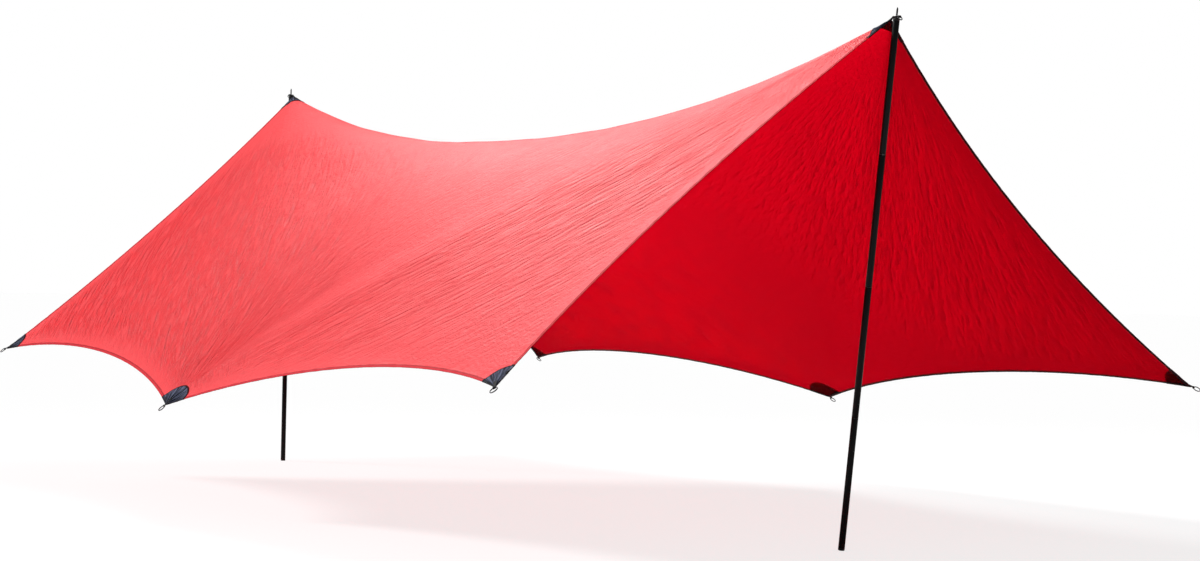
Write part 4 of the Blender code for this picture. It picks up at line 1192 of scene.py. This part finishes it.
def build_eyelet(pole):
    """A pressed metal eyelet with a rolled rim on both sides of its strap."""
    hole, rim, half = EYELET_HOLE, EYELET_RIM, EYELET_HALF
    side = [(hole, half - 0.0005), (hole + 0.0003, half - 0.0001), (hole + 0.0010, half),
            (rim - 0.0006, half - 0.0002), (rim, half - 0.0005),
            (rim, EYELET_GRIP), (hole + 0.0006, EYELET_GRIP)]
    profile = [(radius, -height) for radius, height in side] + side[::-1]
    made = place(lathe(f"eyelet_{pole.where}_metal", profile, "eyelet", 40), pole.eyelet, pole.axis)
    return set_out(made, f"eyelet_{pole.where}", "canopy")


# Poles


def tube_profile(low, high):
    """A thin tube with eased outer edges, from its low inner edge round to its high one."""
    inner, outer, rim = POLE_RADIUS - TUBE_WALL, POLE_RADIUS, 0.0003
    return [(inner, low), (outer - rim, low), (outer - rim / 4, low + rim / 4), (outer, low + rim),
            (outer, high - rim), (outer - rim / 4, high - rim / 4), (outer - rim, high), (inner, high)]


def foot_profile(stub):
    """A rubbery foot with three grooves and a stub that fills the tube."""
    outer, top = POLE_RADIUS, FOOT_HEIGHT + FOOT_STUB
    profile = rounded([(0, 0), (0.0115, 0), (0.0128, 0.0014), (outer, 0.0030)], 0.0006, 3)
    for low in (0.0036, 0.0054, 0.0072):
        profile += [(outer, low), (0.0125, low + 0.0003), (0.0125, low + 0.0008), (outer, low + 0.0011)]
    return profile + [(outer, FOOT_HEIGHT - 0.0002), (0.0128, FOOT_HEIGHT), (stub, FOOT_HEIGHT),
                      (stub, top - 0.0006), (stub - 0.0006, top), (0, top)]


def plug_profile(stub):
    """A top plug with a stub, a domed head and a bore for the spike."""
    end, head, top = POLE_LENGTH, POLE_LENGTH - PLUG_HEAD, POLE_LENGTH + DOME_HEIGHT
    bore = SPIKE_RADIUS + GAP
    dome = [(0.0127, -0.0006), (0.0119, 0), (0.0100, 0.0004), (0.0088, 0.0016),
            (0.0072, 0.0028), (0.0056, 0.0036)]
    return [(0, head - PLUG_STUB), (stub, head - PLUG_STUB), (stub, head), (0.0129, head),
            (POLE_RADIUS, head + 0.0002), (POLE_RADIUS, end - 0.0016),
            *((radius, end + rise) for radius, rise in dome),
            (0.0043, top), (bore, top), (bore, top - SPIKE_SEAT), (0, top - SPIKE_SEAT)]


def spike_profile():
    low, tip = POLE_LENGTH + DOME_HEIGHT - SPIKE_SEAT + GAP, POLE_LENGTH + SPIKE_ABOVE
    point = [(SPIKE_RADIUS, 0.0075), (0.0033, 0.0066), (0.0026, 0.0036), (0.0017, 0.0012), (0.0009, 0.0003)]
    return [(0, low), (SPIKE_RADIUS, low), *((radius, tip - below) for radius, below in point), (0, tip)]


def build_pole(pole):
    """Four tubes over their bare ferrules, a foot, a plug and a spike."""
    where = pole.where

    def build(name, profile, look, node, body, sides=48):
        piece = place(lathe(name, profile, look, sides), pole.foot, pole.axis)
        set_out(piece, node, f"pole_{where}_{body}")

    first, end = FOOT_HEIGHT + GAP, POLE_LENGTH - PLUG_HEAD - GAP
    pitch = (end - first + GAP) / 4
    for k, body in enumerate(("bottom", "second", "third", "top")):
        low = first + k * pitch
        node = f"tube_{where}_{k + 1}"
        build(node + "_finish", tube_profile(low, low + pitch - GAP), "tube", node, body)
    for k in (1, 2, 3):
        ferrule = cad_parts[f"ferrule_{where}_{k}"]
        ferrule.data.materials.clear()
        ferrule.data.materials.append(LOOKS["bare"])
    stub = POLE_RADIUS - TUBE_WALL - GAP
    build(f"foot_{where}_plug", foot_profile(stub), "plastic", f"foot_{where}", "bottom")
    build(f"plug_{where}_head", plug_profile(stub), "plastic", f"plug_{where}", "top")
    build(f"spike_{where}_pin", spike_profile(), "spike", f"spike_{where}", "top", 32)


# Stage


def build_stage():
    """A plain pale floor that keeps its shadow, and a studio room that is white to the camera."""
    bpy.ops.mesh.primitive_plane_add(size=FLOOR_SIZE, location=(0, 0, -0.0002))
    floor = bpy.context.object
    floor.name = "floor"
    look = Look("floor")
    seen = look.add("LightPath", "Is Camera Ray")
    ground = look.surface(Base_Color=look.mix(seen, tint(WHITE, 0.80), WHITE), Roughness=0.9,
                          Specular_IOR_Level=0.1)
    glow = look.add("Emission", 0)
    both = look.add("MixShader", 0, {0: look.times(seen, FLOOR_WHITE), 1: ground, 2: glow})
    floor.data.materials.append(look.finish(both))

    room = Look("studio", world=True)
    height = room.add("SeparateXYZ", "Z", {0: room.add("TexCoord", "Generated")})
    strength = room.spread(height, 0.25, 0.65, 0.20, 0.42)
    around = room.add("Background", 0, {"Color": WHITE, "Strength": strength})
    seen = room.add("Background", 0, {"Color": WHITE, "Strength": 1.0})
    camera_ray = room.add("LightPath", "Is Camera Ray")
    bpy.context.scene.world = room.finish(room.add("MixShader", 0, {0: camera_ray, 1: around, 2: seen}))


def build_lamp(name, kind, toward, energy, **settings):
    """A lamp whose back points the given way."""
    data = bpy.data.lights.new(name, kind)
    data.energy = energy
    for key, value in settings.items():
        setattr(data, key, value)
    lamp = bpy.data.objects.new(name, data)
    bpy.context.scene.collection.objects.link(lamp)
    lamp.rotation_euler = Vector(toward).to_track_quat("Z", "Y").to_euler()
    return lamp


def build_lamps():
    """A broad sun, and two large soft lamps: over the right side, and behind for the left side's shine."""
    build_lamp("key", "SUN", SUN_WAY, SUN_STRENGTH, angle=SUN_WIDTH)
    for name, location, toward, energy, spread in (
        ("over", (-1.5, 2.7, 4.5), (-1.9, 1.5, 3.5), 122.0, 180.0),
        ("behind", (-3.2, 0.5, 4.8), (-5.4, 2.3, 4.0), 50.0, 75.0),
    ):
        lamp = build_lamp(name, "AREA", toward, energy, shape="DISK", size=SOFT_LAMP_SIZE)
        lamp.data.spread = math.radians(spread)
        lamp.location = location


def build_camera():
    data = bpy.data.cameras.new("camera")
    data.sensor_width = SENSOR_WIDTH
    data.lens = CAMERA_LENS
    data.clip_end = 500.0
    camera = bpy.data.objects.new("camera", data)
    bpy.context.scene.collection.objects.link(camera)
    level = math.cos(CAMERA_PITCH)
    ahead = Vector((-math.sin(CAMERA_YAW) * level, math.cos(CAMERA_YAW) * level, math.sin(CAMERA_PITCH)))
    right = Vector((math.cos(CAMERA_YAW), math.sin(CAMERA_YAW), 0.0))
    up = right.cross(ahead)
    rolled = math.cos(CAMERA_ROLL) * right + math.sin(CAMERA_ROLL) * up
    upright = -math.sin(CAMERA_ROLL) * right + math.cos(CAMERA_ROLL) * up
    matrix = np.eye(4)
    matrix[:3] = np.stack([rolled, upright, -ahead, CAMERA_PLACE], -1)
    camera.matrix_world = Matrix(matrix.tolist())
    bpy.context.scene.camera = camera


def main():
    cloth = Cloth()
    canopy = build_cloth(cloth)
    sewn = build_hems(cloth) + build_patches(cloth) + build_ties(cloth) + build_peaks(cloth)
    for pole in PEAKS.values():
        build_pole(pole)
    build_stage()
    build_lamps()
    build_camera()
    bpy.context.scene.view_settings.view_transform = "Standard"


main()
